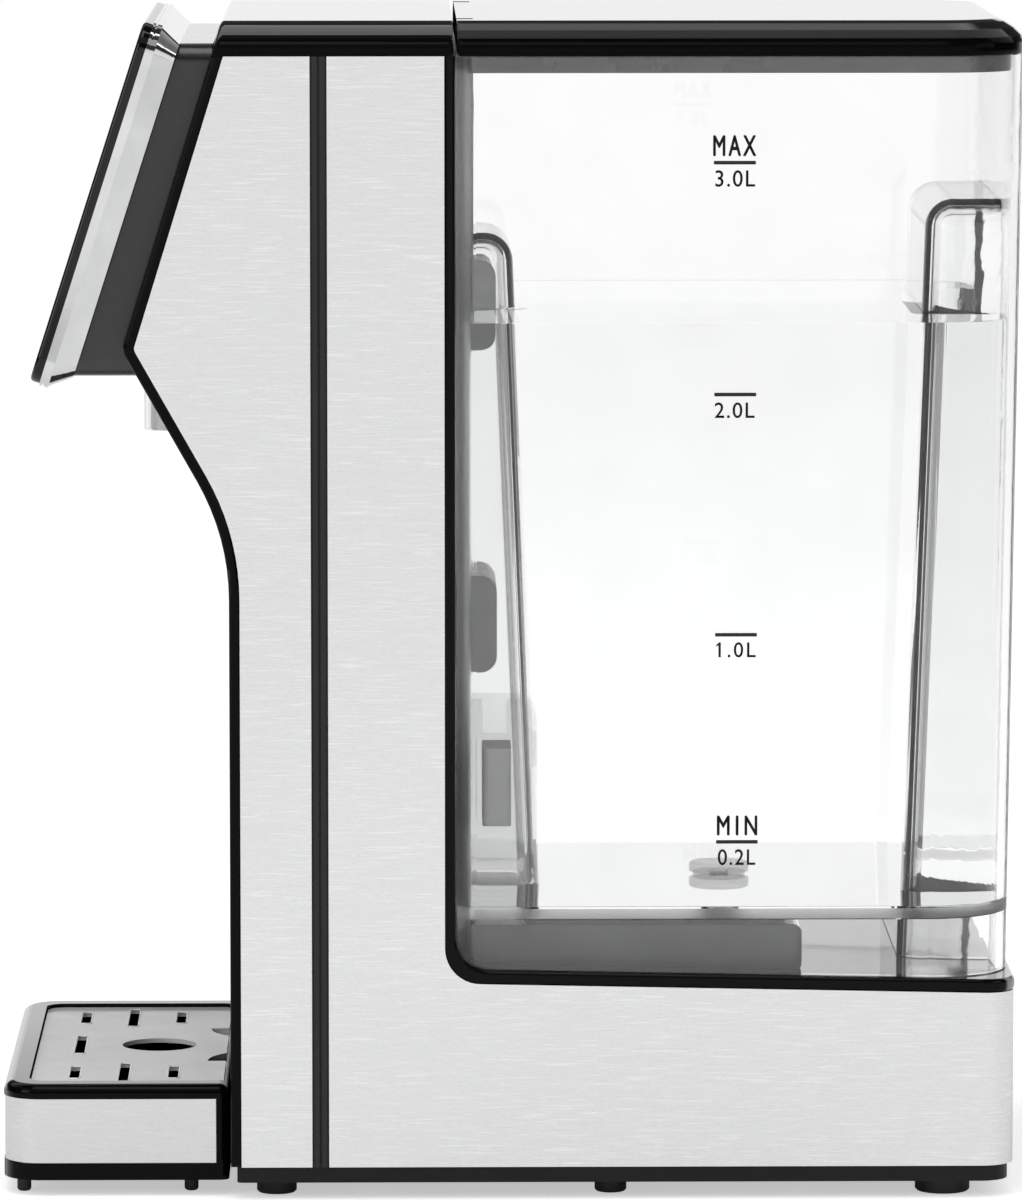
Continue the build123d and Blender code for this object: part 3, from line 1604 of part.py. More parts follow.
def main():
    """Build every node and write it."""
    os.makedirs("parts", exist_ok=True)
    save("base_pan", base_pan())
    save("body_feet", *body_feet())
    save("pan_screws", *pan_screws())
    save("front_fascia", front_fascia())
    for name, walls in (("front", front_casing()), ("rear", rear_casing())):
        right, left, roof = walls
        save(name + "_casing_right", right)
        save(name + "_casing_left", left)
        save(name + "_roof", roof)
    right, left, back = base_casing()
    save("base_side_right", right)
    save("base_side_left", left)
    save("back_wall", back)
    for name, panel in (("front_panel", front_panel()), ("rear_panel", rear_panel())):
        right, left = both_sides(panel)
        save(name + "_right", right)
        save(name + "_left", left)
    save("tank_cradle", tank_cradle())
    save("guide_lugs", *guide_lugs())
    save("tank_socket", tank_socket())
    save("socket_seal", socket_seal())
    save("reed_switch", reed_switch())
    save("top_cover", top_cover())
    save("head_housing", head_housing())
    save("head_bezel", head_bezel())
    save("control_glass", control_glass())
    save("display_board", display_board())
    save("spout_sleeve", spout_sleeve())
    save("spout_nozzle", spout_nozzle())
    save("spout_holder", spout_holder())
    save("heater", heater())
    save("heater_caps", *heater_caps())
    save("heater_brackets", *heater_brackets())
    save("thermostats", *thermostats())
    save("pump_motor", pump_motor())
    save("pump_head", pump_head())
    save("pump_impeller", pump_impeller())
    save("pump_cushion", pump_cushion())
    save("inlet_hose", inlet_hose())
    save("feed_hose", feed_hose())
    save("outlet_hose", outlet_hose())
    save("power_board", power_board())
    save("terminal_block", terminal_block())
    save("cord_gland", cord_gland())
    save("tank_shell", tank_shell())
    save("hinge_pins", *hinge_pins())
    save("float_cage", float_cage())
    save("level_float", level_float())
    save("float_magnet", float_magnet())
    save("valve_plunger", valve_plunger())
    save("valve_washer", valve_washer())
    save("valve_spring", valve_spring())
    save("lid_shell", lid_shell())
    save("lid_plug", lid_plug())
    save("tray_body", tray_body())
    save("tray_band", tray_band())
    save("tray_feet", *tray_feet())
    save("tray_grille", tray_grille())


if __name__ == "__main__":
    main()
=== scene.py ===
"""Looks of the instant hot water dispenser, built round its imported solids.

Metres, +Z up, front towards -Y. The picture is taken from the right, +X.
"""

from math import cos, pi, radians, sin

import bmesh
import bpy
from bpy.props import FloatProperty, FloatVectorProperty, PointerProperty
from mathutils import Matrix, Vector


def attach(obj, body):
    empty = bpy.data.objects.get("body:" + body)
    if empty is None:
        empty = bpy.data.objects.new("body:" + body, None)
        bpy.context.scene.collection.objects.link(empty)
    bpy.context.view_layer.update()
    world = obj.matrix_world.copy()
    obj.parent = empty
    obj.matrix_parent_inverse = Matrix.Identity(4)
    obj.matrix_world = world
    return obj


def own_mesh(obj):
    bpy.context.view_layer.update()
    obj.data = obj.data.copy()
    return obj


bl_info = {
    "name": "Hot water dispenser looks",
    "version": (1, 0, 0),
    "blender": (4, 5, 0),
    "location": "3D View > Sidebar > Dispenser",
    "description": "Finishes, water, printed scale and studio for the hot water dispenser",
    "category": "Object",
}

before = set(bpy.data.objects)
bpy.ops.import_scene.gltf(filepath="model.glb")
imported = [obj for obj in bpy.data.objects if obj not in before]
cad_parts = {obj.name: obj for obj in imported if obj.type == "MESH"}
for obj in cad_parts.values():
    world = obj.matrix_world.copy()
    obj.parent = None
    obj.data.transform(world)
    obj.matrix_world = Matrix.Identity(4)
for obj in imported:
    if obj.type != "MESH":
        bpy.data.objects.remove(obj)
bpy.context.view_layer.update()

MM = 0.001


def colour_setting(name, description, default):
    """Property that holds a colour."""
    return FloatVectorProperty(
        name=name, description=description, subtype="COLOR", size=3, min=0, max=1, default=default
    )


def length_setting(name, description, default, low, high):
    """Property that holds a length in metres, with its limits."""
    return FloatProperty(
        name=name, description=description, subtype="DISTANCE", default=default, min=low, max=high
    )


class DispenserColours(bpy.types.PropertyGroup):
    """Colours of the finishes."""

    black: colour_setting("Black moulding", "Polished black plastic", (0.0018, 0.0018, 0.002))
    satin: colour_setting("Satin black", "Satin side of the control head", (0.012, 0.012, 0.0125))
    steel: colour_setting("Brushed steel", "Steel skin of the body", (0.86, 0.863, 0.866))
    chrome: colour_setting("Chrome", "Plated frame of the control head", (0.72, 0.724, 0.728))
    clear: colour_setting("Clear plastic", "Tint of the tank", (0.985, 0.987, 0.987))
    water: colour_setting("Water", "Tint of the water", (0.985, 0.988, 0.988))
    lug: colour_setting("Grey moulding", "Guide lugs", (0.8, 0.803, 0.808))
    print: colour_setting("Scale print", "Ink of the litre scale", (0.006, 0.006, 0.006))
    floor: colour_setting("Floor", "Studio floor", (0.86, 0.86, 0.86))


class DispenserSizes(bpy.types.PropertyGroup):
    """Sizes of what the solids don't carry."""

    water_level: length_setting(
        "Water level", "Height of the water over the worktop", 0.2297, 0.08, 0.27
    )
    water_gap: length_setting(
        "Water gap", "Distance from the water to the tank's inner face", 0.0001, 0.0, 0.001
    )
    print_height: length_setting(
        "Print thickness", "How far the print stands off its wall", 0.00006, 0.00001, 0.001
    )
    slot_bead: length_setting(
        "Slot bead", "Radius of the rolled edge round each grille slot", 0.00028, 0.0001, 0.001
    )
    streak_length: length_setting(
        "Brushing length", "Length of a brushing streak on the steel", 0.009, 0.001, 0.1
    )
    streak_width: length_setting(
        "Brushing width", "Width of a brushing streak on the steel", 0.00045, 0.0001, 0.01
    )
    edge_round: length_setting(
        "Edge rounding", "Radius that polished edges are softened to", 0.0006, 0.0, 0.005
    )
    shoulder_round: length_setting(
        "Shoulder rounding", "Radius that the lid's shoulders are smoothed to", 0.002, 0.0, 0.01
    )
    floor_size: length_setting("Floor size", "Side of the studio floor", 6.0, 1.0, 20.0)


def colours():
    """The scene's colours."""
    return bpy.context.scene.dispenser_colours


def sizes():
    """The scene's sizes."""
    return bpy.context.scene.dispenser_sizes


def rgba(colour):
    """A colour, or the colour setting that is named, as four numbers."""
    if isinstance(colour, str):
        colour = getattr(colours(), colour)
    return (*colour, 1.0)


def linked_object(name, data):
    """Object with its data, linked to the scene."""
    item = bpy.data.objects.new(name, data)
    bpy.context.scene.collection.objects.link(item)
    return item


def add_object(name, mesh, body, material):
    """Link a finished mesh as a piece that rides on a body."""
    piece = linked_object(name, mesh)
    mesh.materials.clear()
    mesh.materials.append(material)
    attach(piece, body)


def fill(tree, socket, value):
    """Link an input from a socket, or set it to a plain value."""
    if isinstance(value, bpy.types.NodeSocket):
        tree.links.new(value, socket)
    else:
        socket.default_value = value


def feed(tree, node, **inputs):
    """Fill a node's inputs by name, where an underscore stands for a space."""
    for label, value in inputs.items():
        fill(tree, node.inputs[label.replace("_", " ")], value)


def add_node(tree, kind, settings=(), **inputs):
    """New node, with its settings made before its inputs are filled."""
    node = tree.nodes.new(kind)
    for label, value in dict(settings).items():
        setattr(node, label, value)
    feed(tree, node, **inputs)
    return node


def new_tree(kind, name, inputs, outputs):
    """Empty node tree with sockets (name, kind), and a value after the kind for an input that has
    one; returns it with its two ends."""
    tree = bpy.data.node_groups.new(name, kind)
    for direction, rows in (("INPUT", inputs), ("OUTPUT", outputs)):
        for label, socket_kind, *value in rows:
            socket = tree.interface.new_socket(
                name=label, in_out=direction, socket_type="NodeSocket" + socket_kind
            )
            if value:
                socket.default_value = value[0]
    return tree, tree.nodes.new("NodeGroupInput"), tree.nodes.new("NodeGroupOutput")


def object_place(tree, scale):
    """Object coordinates scaled by a fixed vector."""
    place = tree.nodes.new("ShaderNodeTexCoord")
    mapping = add_node(tree, "ShaderNodeMapping", Scale=scale, Vector=place.outputs["Object"])
    return mapping.outputs["Vector"]


def noise_node(tree, vector, scale, detail=2.0, roughness=0.5):
    """Noise texture on a vector."""
    return add_node(
        tree, "ShaderNodeTexNoise", Vector=vector, Scale=scale, Detail=detail, Roughness=roughness
    ).outputs["Fac"]


def range_node(tree, value, source, target=(0.0, 1.0)):
    """Map a value from one range to another."""
    return add_node(
        tree, "ShaderNodeMapRange", Value=value, From_Min=source[0], From_Max=source[1],
        To_Min=target[0], To_Max=target[1],
    ).outputs["Result"]


def math_node(tree, operation, first, second=0.0):
    """One sum on two numbers or sockets."""
    node = add_node(tree, "ShaderNodeMath", {"operation": operation})
    for socket, value in zip(node.inputs, (first, second)):
        fill(tree, socket, value)
    return node.outputs["Value"]


def weighted_sum(tree, *terms):
    """Sum of values, each times its share."""
    total, *others = [math_node(tree, "MULTIPLY", value, share) for value, share in terms]
    for other in others:
        total = math_node(tree, "ADD", total, other)
    return total


def band_mask(tree, value, rise, fall):
    """Mask that grows to 1 over one span of a value and falls back to 0 over another."""
    return math_node(
        tree, "MULTIPLY", range_node(tree, value, rise), range_node(tree, value, fall, (1.0, 0.0))
    )


def shaded_colour(tree, colour, shade):
    """A colour made lighter or darker by a factor."""
    node = add_node(tree, "ShaderNodeVectorMath", {"operation": "SCALE"}, Scale=shade)
    fill(tree, node.inputs[0], colour)
    return node.outputs["Vector"]


def vector_parts(tree, vector):
    """The three values of a vector."""
    return add_node(tree, "ShaderNodeSeparateXYZ", Vector=vector).outputs


def object_parts(tree):
    """Object coordinates as three values."""
    return vector_parts(tree, tree.nodes.new("ShaderNodeTexCoord").outputs["Object"])


def face_parts(tree):
    """Direction that a face looks in, as three values."""
    return vector_parts(tree, tree.nodes.new("ShaderNodeNewGeometry").outputs["True Normal"])


SURFACE_OUTPUTS = (("Colour", "Color"), ("Roughness", "Float"), ("Height", "Float"))
# Noise gathers round a half; this is the part of it that is spread over a whole range
NOISE_SPAN = (0.35, 0.65)
WIDE_NOISE_SPAN = (0.3, 0.7)


def moulded_grain_group():
    """Fine unevenness of a moulded surface: its roughness, a colour shade and a height."""
    group, start, end = new_tree("ShaderNodeTree", "moulded_grain", (
        ("Grain Scale", "Float", 900.0), ("Smooth", "Float", 0.1), ("Dull", "Float", 0.2),
        ("Colour", "Color", (0.1, 0.1, 0.1, 1)),
    ), SURFACE_OUTPUTS)
    given = start.outputs
    place = object_place(group, (1, 1, 1))
    fine = noise_node(group, place, given["Grain Scale"], 3.0)
    broad = noise_node(group, place, 14.0)
    cloud = noise_node(group, place, 60.0, 4.0, 0.6)
    blend = weighted_sum(group, (broad, 0.6), (cloud, 0.4))
    shade = range_node(group, cloud, WIDE_NOISE_SPAN, (0.92, 1.08))
    feed(
        group, end, Colour=shaded_colour(group, given["Colour"], shade), Height=fine,
        Roughness=range_node(group, blend, NOISE_SPAN, (given["Smooth"], given["Dull"])),
    )


def brushed_lines_group(length, width):
    """Brushing that runs level round the body: short and long streaks."""
    group, start, end = new_tree("ShaderNodeTree", "brushed_lines", (
        ("Colour", "Color", (0.8, 0.8, 0.8, 1)), ("Contrast", "Float", 0.1),
        ("Smooth", "Float", 0.25), ("Dull", "Float", 0.4),
    ), SURFACE_OUTPUTS)
    given = start.outputs

    def streaks(along, across, detail, roughness=0.5):
        """Noise drawn out along the brushing, with how close it lies each way."""
        place = object_place(group, (along / length, along / length, across / width))
        return noise_node(group, place, 1.0, detail, roughness)

    short = streaks(1.0, 1.0, 2.0, 0.6)
    fine = streaks(0.35, 2.4, 2.0)
    long = streaks(0.1, 0.3, 3.0)
    fleck = streaks(1.0, 1.3, 0.0)
    broad = noise_node(group, object_place(group, (3.0, 3.0, 5.0)), 1.0, 1.0)
    streak = weighted_sum(group, (short, 0.5), (fine, 0.3), (long, 0.2))
    centred = math_node(group, "SUBTRACT", streak, 0.5)
    bright = range_node(group, fleck, (0.6, 0.8), (0.0, 0.6))
    swing = math_node(
        group, "MULTIPLY", math_node(group, "ADD", centred, bright), given["Contrast"]
    )
    drift = range_node(group, broad, WIDE_NOISE_SPAN, (-0.02, 0.02))
    shade = math_node(group, "ADD", math_node(group, "ADD", swing, drift), 1.0)
    feed(
        group, end, Colour=shaded_colour(group, given["Colour"], shade), Height=streak,
        Roughness=range_node(group, streak, NOISE_SPAN, (given["Smooth"], given["Dull"])),
    )


def handling_marks_group():
    """Faint smears that hands leave on a polished surface, as an addition to its roughness."""
    group, start, end = new_tree(
        "ShaderNodeTree", "handling_marks",
        (("Roughness", "Float", 0.1), ("Amount", "Float", 0.08)), (("Roughness", "Float"),),
    )
    smear = noise_node(group, object_place(group, (18, 11, 7)), 1.0, 5.0, 0.62)
    dabs = noise_node(group, object_place(group, (55, 48, 40)), 1.0, 3.0, 0.55)
    mask = math_node(
        group, "MULTIPLY", range_node(group, smear, (0.48, 0.72)),
        range_node(group, dabs, (0.4, 0.65), (0.2, 1.0)),
    )
    added = math_node(group, "MULTIPLY", mask, start.outputs["Amount"])
    feed(group, end, Roughness=math_node(group, "ADD", added, start.outputs["Roughness"]))


# Keeps the finishes apart from the plain materials that come with the solids
FINISH_MARK = "_finish"
# How high the bumps of each kind of surface stand, in metres
GRAIN_HEIGHT, BRUSHING_HEIGHT, CLEAR_HEIGHT = 0.0002, 0.0001, 0.0001
BEVEL_SAMPLES = 8
STEEL_SMEARS = 0.04
# Clear materials: size of their grain, how much of it their colour takes, strength of their bump
CLEAR_GRAIN, CLEAR_SHADE, CLEAR_BUMP = 220.0, 0.12, 0.02


def base_material(name, **settings):
    """Material with its plain numbers on the shader's own sockets; returns its tree and shader."""
    material = bpy.data.materials.new(name + FINISH_MARK)
    material.use_nodes = True
    tree = material.node_tree
    shader = tree.nodes["Principled BSDF"]
    feed(tree, shader, **settings)
    return tree, shader


def finish(name):
    """A finish by its name."""
    return bpy.data.materials[name + FINISH_MARK]


def place_group(tree, name, **inputs):
    """Outputs of a shared node group placed in a material."""
    node = add_node(tree, "ShaderNodeGroup", {"node_tree": bpy.data.node_groups[name]}, **inputs)
    return node.outputs


def add_bump(tree, shader, height, strength, distance, rounding=None):
    """Bump from a height onto the shader's normal, over edges softened by a named size."""
    bump = add_node(tree, "ShaderNodeBump", Height=height, Strength=strength, Distance=distance)
    if rounding:
        soft = add_node(
            tree, "ShaderNodeBevel", {"samples": BEVEL_SAMPLES}, Radius=getattr(sizes(), rounding)
        )
        feed(tree, bump, Normal=soft.outputs["Normal"])
    feed(tree, shader, Normal=bump.outputs["Normal"])


def moulding_material(
    name, colour, smooth, dull, grain=900.0, bump=0.05, smears=0.0, rounding=None, **settings
):
    """Moulded plastic, rubber or ceramic with its grain and any handling marks."""
    tree, shader = base_material(name, **settings)
    surface = place_group(
        tree, "moulded_grain", Grain_Scale=grain, Smooth=smooth, Dull=dull, Colour=rgba(colour)
    )
    rough = surface["Roughness"]
    if smears:
        marks = place_group(tree, "handling_marks", Amount=smears, Roughness=rough)
        rough = marks["Roughness"]
    feed(tree, shader, Base_Color=surface["Colour"], Roughness=rough)
    add_bump(tree, shader, surface["Height"], bump, GRAIN_HEIGHT, rounding)


def steel_material(name, colour, smooth, dull, contrast, bump=0.1, Metallic=1.0):
    """Brushed metal."""
    tree, shader = base_material(name, Metallic=Metallic)
    lines = place_group(
        tree, "brushed_lines", Colour=rgba(colour), Contrast=contrast, Smooth=smooth, Dull=dull
    )
    marks = place_group(tree, "handling_marks", Amount=STEEL_SMEARS, Roughness=lines["Roughness"])
    feed(tree, shader, Base_Color=lines["Colour"], Roughness=marks["Roughness"])
    add_bump(tree, shader, lines["Height"], bump, BRUSHING_HEIGHT)


def clear_material(name, colour, smooth, dull, **settings):
    """Clear moulding or water."""
    tree, shader = base_material(name, Transmission_Weight=1.0, **settings)
    surface = place_group(
        tree, "moulded_grain", Grain_Scale=CLEAR_GRAIN, Smooth=smooth, Dull=dull,
        Colour=rgba(colour),
    )
    even = add_node(
        tree, "ShaderNodeMix", {"data_type": "RGBA"}, Factor=CLEAR_SHADE, A=rgba(colour),
        B=surface["Colour"],
    )
    feed(tree, shader, Base_Color=even.outputs["Result"], Roughness=surface["Roughness"])
    add_bump(tree, shader, surface["Height"], CLEAR_BUMP, CLEAR_HEIGHT)


def add_roughness(tree, extra):
    """Add to the roughness that a material's shader is fed."""
    shader = tree.nodes["Principled BSDF"]
    rough = shader.inputs["Roughness"].links[0].from_socket
    feed(tree, shader, Roughness=math_node(tree, "ADD", rough, extra))


# Coats of polished plastic: the span of the Facing weight that they grow over, and the heights, in
# metres, where a shoulder begins and ends
COATS = {
    "lid_black": (0.45, 0.8),
    "cover_black": (0.45, 0.8),
    "tray_black": (0.35, 0.75),
    "deck_black": (0.45, 0.85),
    "satin_black": (0.6, 0.95),
}
SHOULDERS = {"cover_black": ((0.303, 0.304), (0.3068, 0.3072))}
# Ends that face a joint: how squarely they look along Y as they lose their polish, and how rough
# they get
JOINT_FACE, JOINT_ROUGHNESS = (0.93, 0.99), 0.6


def add_grazing_coat(name, span, shoulder=None):
    """Coat that grows as the surface is seen at a lower angle, and is whole on a shoulder; ends
    that face a joint stay dull."""
    tree = finish(name).node_tree
    weight = add_node(tree, "ShaderNodeLayerWeight", Blend=0.5)
    coat = range_node(tree, weight.outputs["Facing"], span)
    if shoulder:
        whole = band_mask(tree, object_parts(tree)["Z"], *shoulder)
        coat = math_node(tree, "MAXIMUM", coat, whole)
    along = math_node(tree, "ABSOLUTE", face_parts(tree)["Y"])
    polished = range_node(tree, along, JOINT_FACE, (1.0, 0.0))
    coat = math_node(tree, "MULTIPLY", coat, polished)
    feed(tree, tree.nodes["Principled BSDF"], Coat_Weight=coat)
    dull = math_node(tree, "SUBTRACT", 1.0, polished)
    add_roughness(tree, math_node(tree, "MULTIPLY", dull, JOINT_ROUGHNESS))


def colour_by(tree, mask, first, second):
    """Feed a moulding's grain with one colour where a mask is 0 and another where it is 1."""
    mix = add_node(
        tree, "ShaderNodeMix", {"data_type": "RGBA"}, Factor=mask, A=rgba(first), B=rgba(second)
    )
    grain = next(node for node in tree.nodes if "Grain Scale" in node.inputs)
    feed(tree, grain, Colour=mix.outputs["Result"])


# Deck under the tank: half width, in metres, of the part inside its black edge, and its colour
DECK_HALF, DECK_INNER = 0.0735, (0.26, 0.263, 0.268)
# Rear side of the fascia: how far back its faces look, and the colour they take
REAR_FACE, REAR_COLOUR = (0.9, 0.98), (0.8, 0.8, 0.8)
# Tank, in metres: where its hidden front wall ends (Y), the heights of its floor's edge, and how
# rough the two are
HIDDEN_WALL, WALL_FROST = (-0.0115, -0.0105), 0.65
FLOOR_EDGE, FLOOR_FROST = ((0.0738, 0.0742), (0.0766, 0.0768)), 0.35


def shade_deck():
    """Give the cradle's deck a paler middle within its black edge."""
    tree = finish("deck_black").node_tree
    across = math_node(tree, "ABSOLUTE", object_parts(tree)["X"])
    colour_by(tree, range_node(tree, across, (DECK_HALF - MM, DECK_HALF)), DECK_INNER, "black")


def shade_rear_face():
    """Make the faces of the fascia that look backwards pale grey, where the rest of it is black."""
    tree = finish("fascia_black").node_tree
    colour_by(tree, range_node(tree, face_parts(tree)["Y"], REAR_FACE), "black", REAR_COLOUR)


def frost_hidden_walls():
    """Roughen the tank's front wall, which faces the body, and the edge of its floor."""
    tree = finish("tank_clear").node_tree
    place = object_parts(tree)
    front = range_node(tree, place["Y"], HIDDEN_WALL, (1.0, 0.0))
    floor = band_mask(tree, place["Z"], *FLOOR_EDGE)
    add_roughness(tree, math_node(
        tree, "MAXIMUM", math_node(tree, "MULTIPLY", front, WALL_FROST),
        math_node(tree, "MULTIPLY", floor, FLOOR_FROST),
    ))


# Every finish has a colour, or the name of its setting, its smoothest and dullest roughness, and
# other settings; names with capitals are the shader's own
POLISHED = {"bump": 0.012, "smears": 0.03}
ROUNDED = {**POLISHED, "rounding": "shoulder_round", "Coat_Roughness": 0.04}
EDGE = {**POLISHED, "rounding": "edge_round"}
TRIM = {"bump": 0.02, "smears": 0.05, "rounding": "edge_round", "Specular_IOR_Level": 0.09}
MOULDINGS = {
    "trim_black": ("black", 0.07, 0.12, TRIM),
    "fascia_black": ("black", 0.07, 0.12, TRIM),
    "rib_black": ((0.026, 0.0262, 0.027), 0.2, 0.3, {"Specular_IOR_Level": 0.2}),
    "lid_black": ("black", 0.05, 0.09, {**ROUNDED, "Specular_IOR_Level": 0.05, "Coat_IOR": 1.5}),
    "cover_black": ("black", 0.05, 0.09, {**ROUNDED, "Specular_IOR_Level": 0.06, "Coat_IOR": 2.2}),
    "roof_black": ("black", 0.08, 0.13, {**POLISHED, "Specular_IOR_Level": 0.03}),
    "tray_black": ("black", 0.07, 0.12, {
        **EDGE, "Specular_IOR_Level": 0.09, "Coat_Roughness": 0.05,
    }),
    "deck_black": ("black", 0.06, 0.1, {
        **EDGE, "Specular_IOR_Level": 0.12, "Coat_Roughness": 0.04,
    }),
    "satin_black": ("satin", 0.22, 0.3, {
        "bump": 0.1, "smears": 0.05, "rounding": "edge_round", "Specular_IOR_Level": 0.8,
        "Coat_Roughness": 0.07,
    }),
    "pan_black": ((0.006, 0.006, 0.0065), 0.3, 0.42, {"bump": 0.12, "Specular_IOR_Level": 0.25}),
    "grey_moulding": ("lug", 0.2, 0.32, {}),
    "float_grey": ((0.88, 0.882, 0.886), 0.25, 0.38, {}),
    "lid_rim_grey": ((0.13, 0.132, 0.136), 0.22, 0.34, {}),
    "white_moulding": ((0.72, 0.72, 0.71), 0.25, 0.38, {}),
    "rubber": ((0.012, 0.012, 0.012), 0.55, 0.72, {"grain": 1600.0, "bump": 0.2}),
    "silicone": ((0.66, 0.66, 0.63), 0.3, 0.45, {"Subsurface_Weight": 0.2}),
    "ceramic": ((0.58, 0.53, 0.46), 0.35, 0.5, {"grain": 1400.0, "bump": 0.15}),
    "circuit_board": ((0.02, 0.11, 0.05), 0.25, 0.4, {"grain": 700.0, "bump": 0.08}),
    "terminal_plastic": ((0.62, 0.6, 0.52), 0.3, 0.45, {"bump": 0.06}),
    "magnet": ((0.07, 0.07, 0.075), 0.35, 0.5, {"bump": 0.1, "Metallic": 0.8}),
    "scale_ink": ("print", 0.4, 0.5, {"bump": 0.02}),
    "panel_print": ((0.55, 0.56, 0.57), 0.35, 0.45, {"bump": 0.02}),
    "black_glass": ((0.0025, 0.0025, 0.003), 0.025, 0.05, {
        "bump": 0.004, "smears": 0.04, "IOR": 1.52, "Specular_IOR_Level": 0.35,
    }),
    "chrome": ("chrome", 0.05, 0.09, {"bump": 0.01, "smears": 0.03, "Metallic": 1.0}),
    "cage_clear": ((0.7, 0.71, 0.71), 0.05, 0.1, {"bump": 0.01, "Alpha": 0.12}),
    "valve_clear": ((0.74, 0.75, 0.75), 0.2, 0.3, {"bump": 0.03, "Alpha": 0.3}),
}
METALS = {
    "brushed_steel": ("steel", 0.22, 0.32, {"contrast": 0.17}),
    "tray_steel": ((0.76, 0.763, 0.766), 0.2, 0.3, {"contrast": 0.09, "bump": 0.05}),
    "plate_steel": ((0.92, 0.923, 0.926), 0.14, 0.22, {
        "contrast": 0.08, "bump": 0.03, "Metallic": 0.3,
    }),
    "plain_steel": ((0.55, 0.55, 0.56), 0.25, 0.4, {"contrast": 0.1}),
}
CLEARS = {
    "tank_clear": ("clear", 0.015, 0.04, {"IOR": 1.42}),
    "spout_clear": ((0.93, 0.935, 0.94), 0.03, 0.06, {"IOR": 1.45}),
    "water": ("water", 0.0, 0.01, {"IOR": 1.22}),
}


class DISPENSER_OT_finishes(bpy.types.Operator):
    """Build the shared effects and every finish"""

    bl_idname = "dispenser.finishes"
    bl_label = "Finishes"

    def execute(self, context):
        moulded_grain_group()
        brushed_lines_group(sizes().streak_length, sizes().streak_width)
        handling_marks_group()
        for build, table in (
            (moulding_material, MOULDINGS), (steel_material, METALS), (clear_material, CLEARS)
        ):
            for name, (colour, smooth, dull, settings) in table.items():
                build(name, colour, smooth, dull, **settings)
        for name, span in COATS.items():
            add_grazing_coat(name, span, SHOULDERS.get(name))
        shade_deck()
        shade_rear_face()
        frost_hidden_walls()
        return {"FINISHED"}


class FinishOperator:
    """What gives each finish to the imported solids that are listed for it."""

    finishes = {}

    def execute(self, context):
        for name, nodes in self.finishes.items():
            for node in nodes.split():
                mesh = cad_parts[node].data
                mesh.materials.clear()
                mesh.materials.append(finish(name))
        return {"FINISHED"}


class DISPENSER_OT_body(FinishOperator, bpy.types.Operator):
    """Finish the casing, its trims, the steel skin, the base and the feet"""

    bl_idname = "dispenser.body"
    bl_label = "Body"
    finishes = {
        "trim_black": "base_side_right base_side_left back_wall",
        "roof_black": "front_roof rear_roof",
        "fascia_black": "front_fascia",
        "rib_black": "front_casing_right front_casing_left rear_casing_right rear_casing_left",
        "deck_black": "tank_cradle",
        "brushed_steel": "front_panel_right front_panel_left rear_panel_right rear_panel_left",
        "cover_black": "top_cover",
        "pan_black": "base_pan cord_gland",
        "rubber": "body_feet",
        "grey_moulding": "guide_lugs",
    }


class DISPENSER_OT_head(FinishOperator, bpy.types.Operator):
    """Finish the control head and the spout"""

    bl_idname = "dispenser.head"
    bl_label = "Control head"
    finishes = {
        "satin_black": "head_housing",
        "chrome": "head_bezel",
        "black_glass": "control_glass",
        "circuit_board": "display_board",
        "spout_clear": "spout_sleeve",
        "plain_steel": "spout_nozzle",
        "pan_black": "spout_holder",
    }


class DISPENSER_OT_insides(FinishOperator, bpy.types.Operator):
    """Finish the heater, pump, hoses, boards and the valve socket"""

    bl_idname = "dispenser.insides"
    bl_label = "Insides"
    finishes = {
        "white_moulding": "tank_socket pump_head pump_impeller heater_caps",
        "rubber": "socket_seal pump_cushion",
        "silicone": "inlet_hose feed_hose outlet_hose",
        "plain_steel": "heater heater_brackets pump_motor pan_screws",
        "ceramic": "thermostats",
        "circuit_board": "power_board",
        "terminal_plastic": "terminal_block reed_switch",
    }


class DISPENSER_OT_tank(FinishOperator, bpy.types.Operator):
    """Finish the tank, its float and its valve"""

    bl_idname = "dispenser.tank"
    bl_label = "Tank"
    finishes = {
        "tank_clear": "tank_shell",
        "cage_clear": "float_cage",
        "plain_steel": "hinge_pins valve_spring",
        "float_grey": "level_float",
        "magnet": "float_magnet",
        "valve_clear": "valve_plunger valve_washer",
    }

    def execute(self, context):
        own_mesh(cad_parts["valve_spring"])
        return super().execute(context)


class DISPENSER_OT_lid(FinishOperator, bpy.types.Operator):
    """Finish the tank's lid and its rim"""

    bl_idname = "dispenser.lid"
    bl_label = "Lid"
    finishes = {"lid_black": "lid_shell", "lid_rim_grey": "lid_plug"}


class DISPENSER_OT_tray(FinishOperator, bpy.types.Operator):
    """Finish the drip tray and its grille"""

    bl_idname = "dispenser.tray"
    bl_label = "Drip tray"
    finishes = {
        "tray_black": "tray_body",
        "tray_steel": "tray_band",
        "plate_steel": "tray_grille",
        "rubber": "tray_feet",
    }


# Tank, as the solids have it, in millimetres
TANK_FRONT, TANK_BACK = -14.5, 133.3
TANK_TOP, TANK_LOW, TANK_FLOOR = 298.7, 57.9, 76.9
TANK_HALF, TANK_WALL = 75.0, 2.5
SIDE_DRAFT, BACK_DRAFT = 1.3, 3.0
FRONT_ROUND, BACK_ROUND = 5.0, 22.0
# Recesses: width, depth at the top and at the bottom, height of the top
FRONT_RECESS = (46.0, 12.5, 20.5, 247.0)
REAR_RECESS = (78.0, 21.5, 28.5, 257.0)
RECESS_ROUND = 4.0
# Steps of the water's rounded corners
RECESS_STEPS, FRONT_STEPS, BACK_STEPS = 8, 6, 16
# Water, in millimetres: heights over the tank's floor, and its rim as (over the level, in from
# the wall)
WATER_HEIGHTS = (40, 80, 120)
WATER_RIM = ((0.0, 0.0), (0.15, 0.04), (0.2, 0.2), (0.12, 0.8), (0.04, 1.6), (0.0, 3.0))


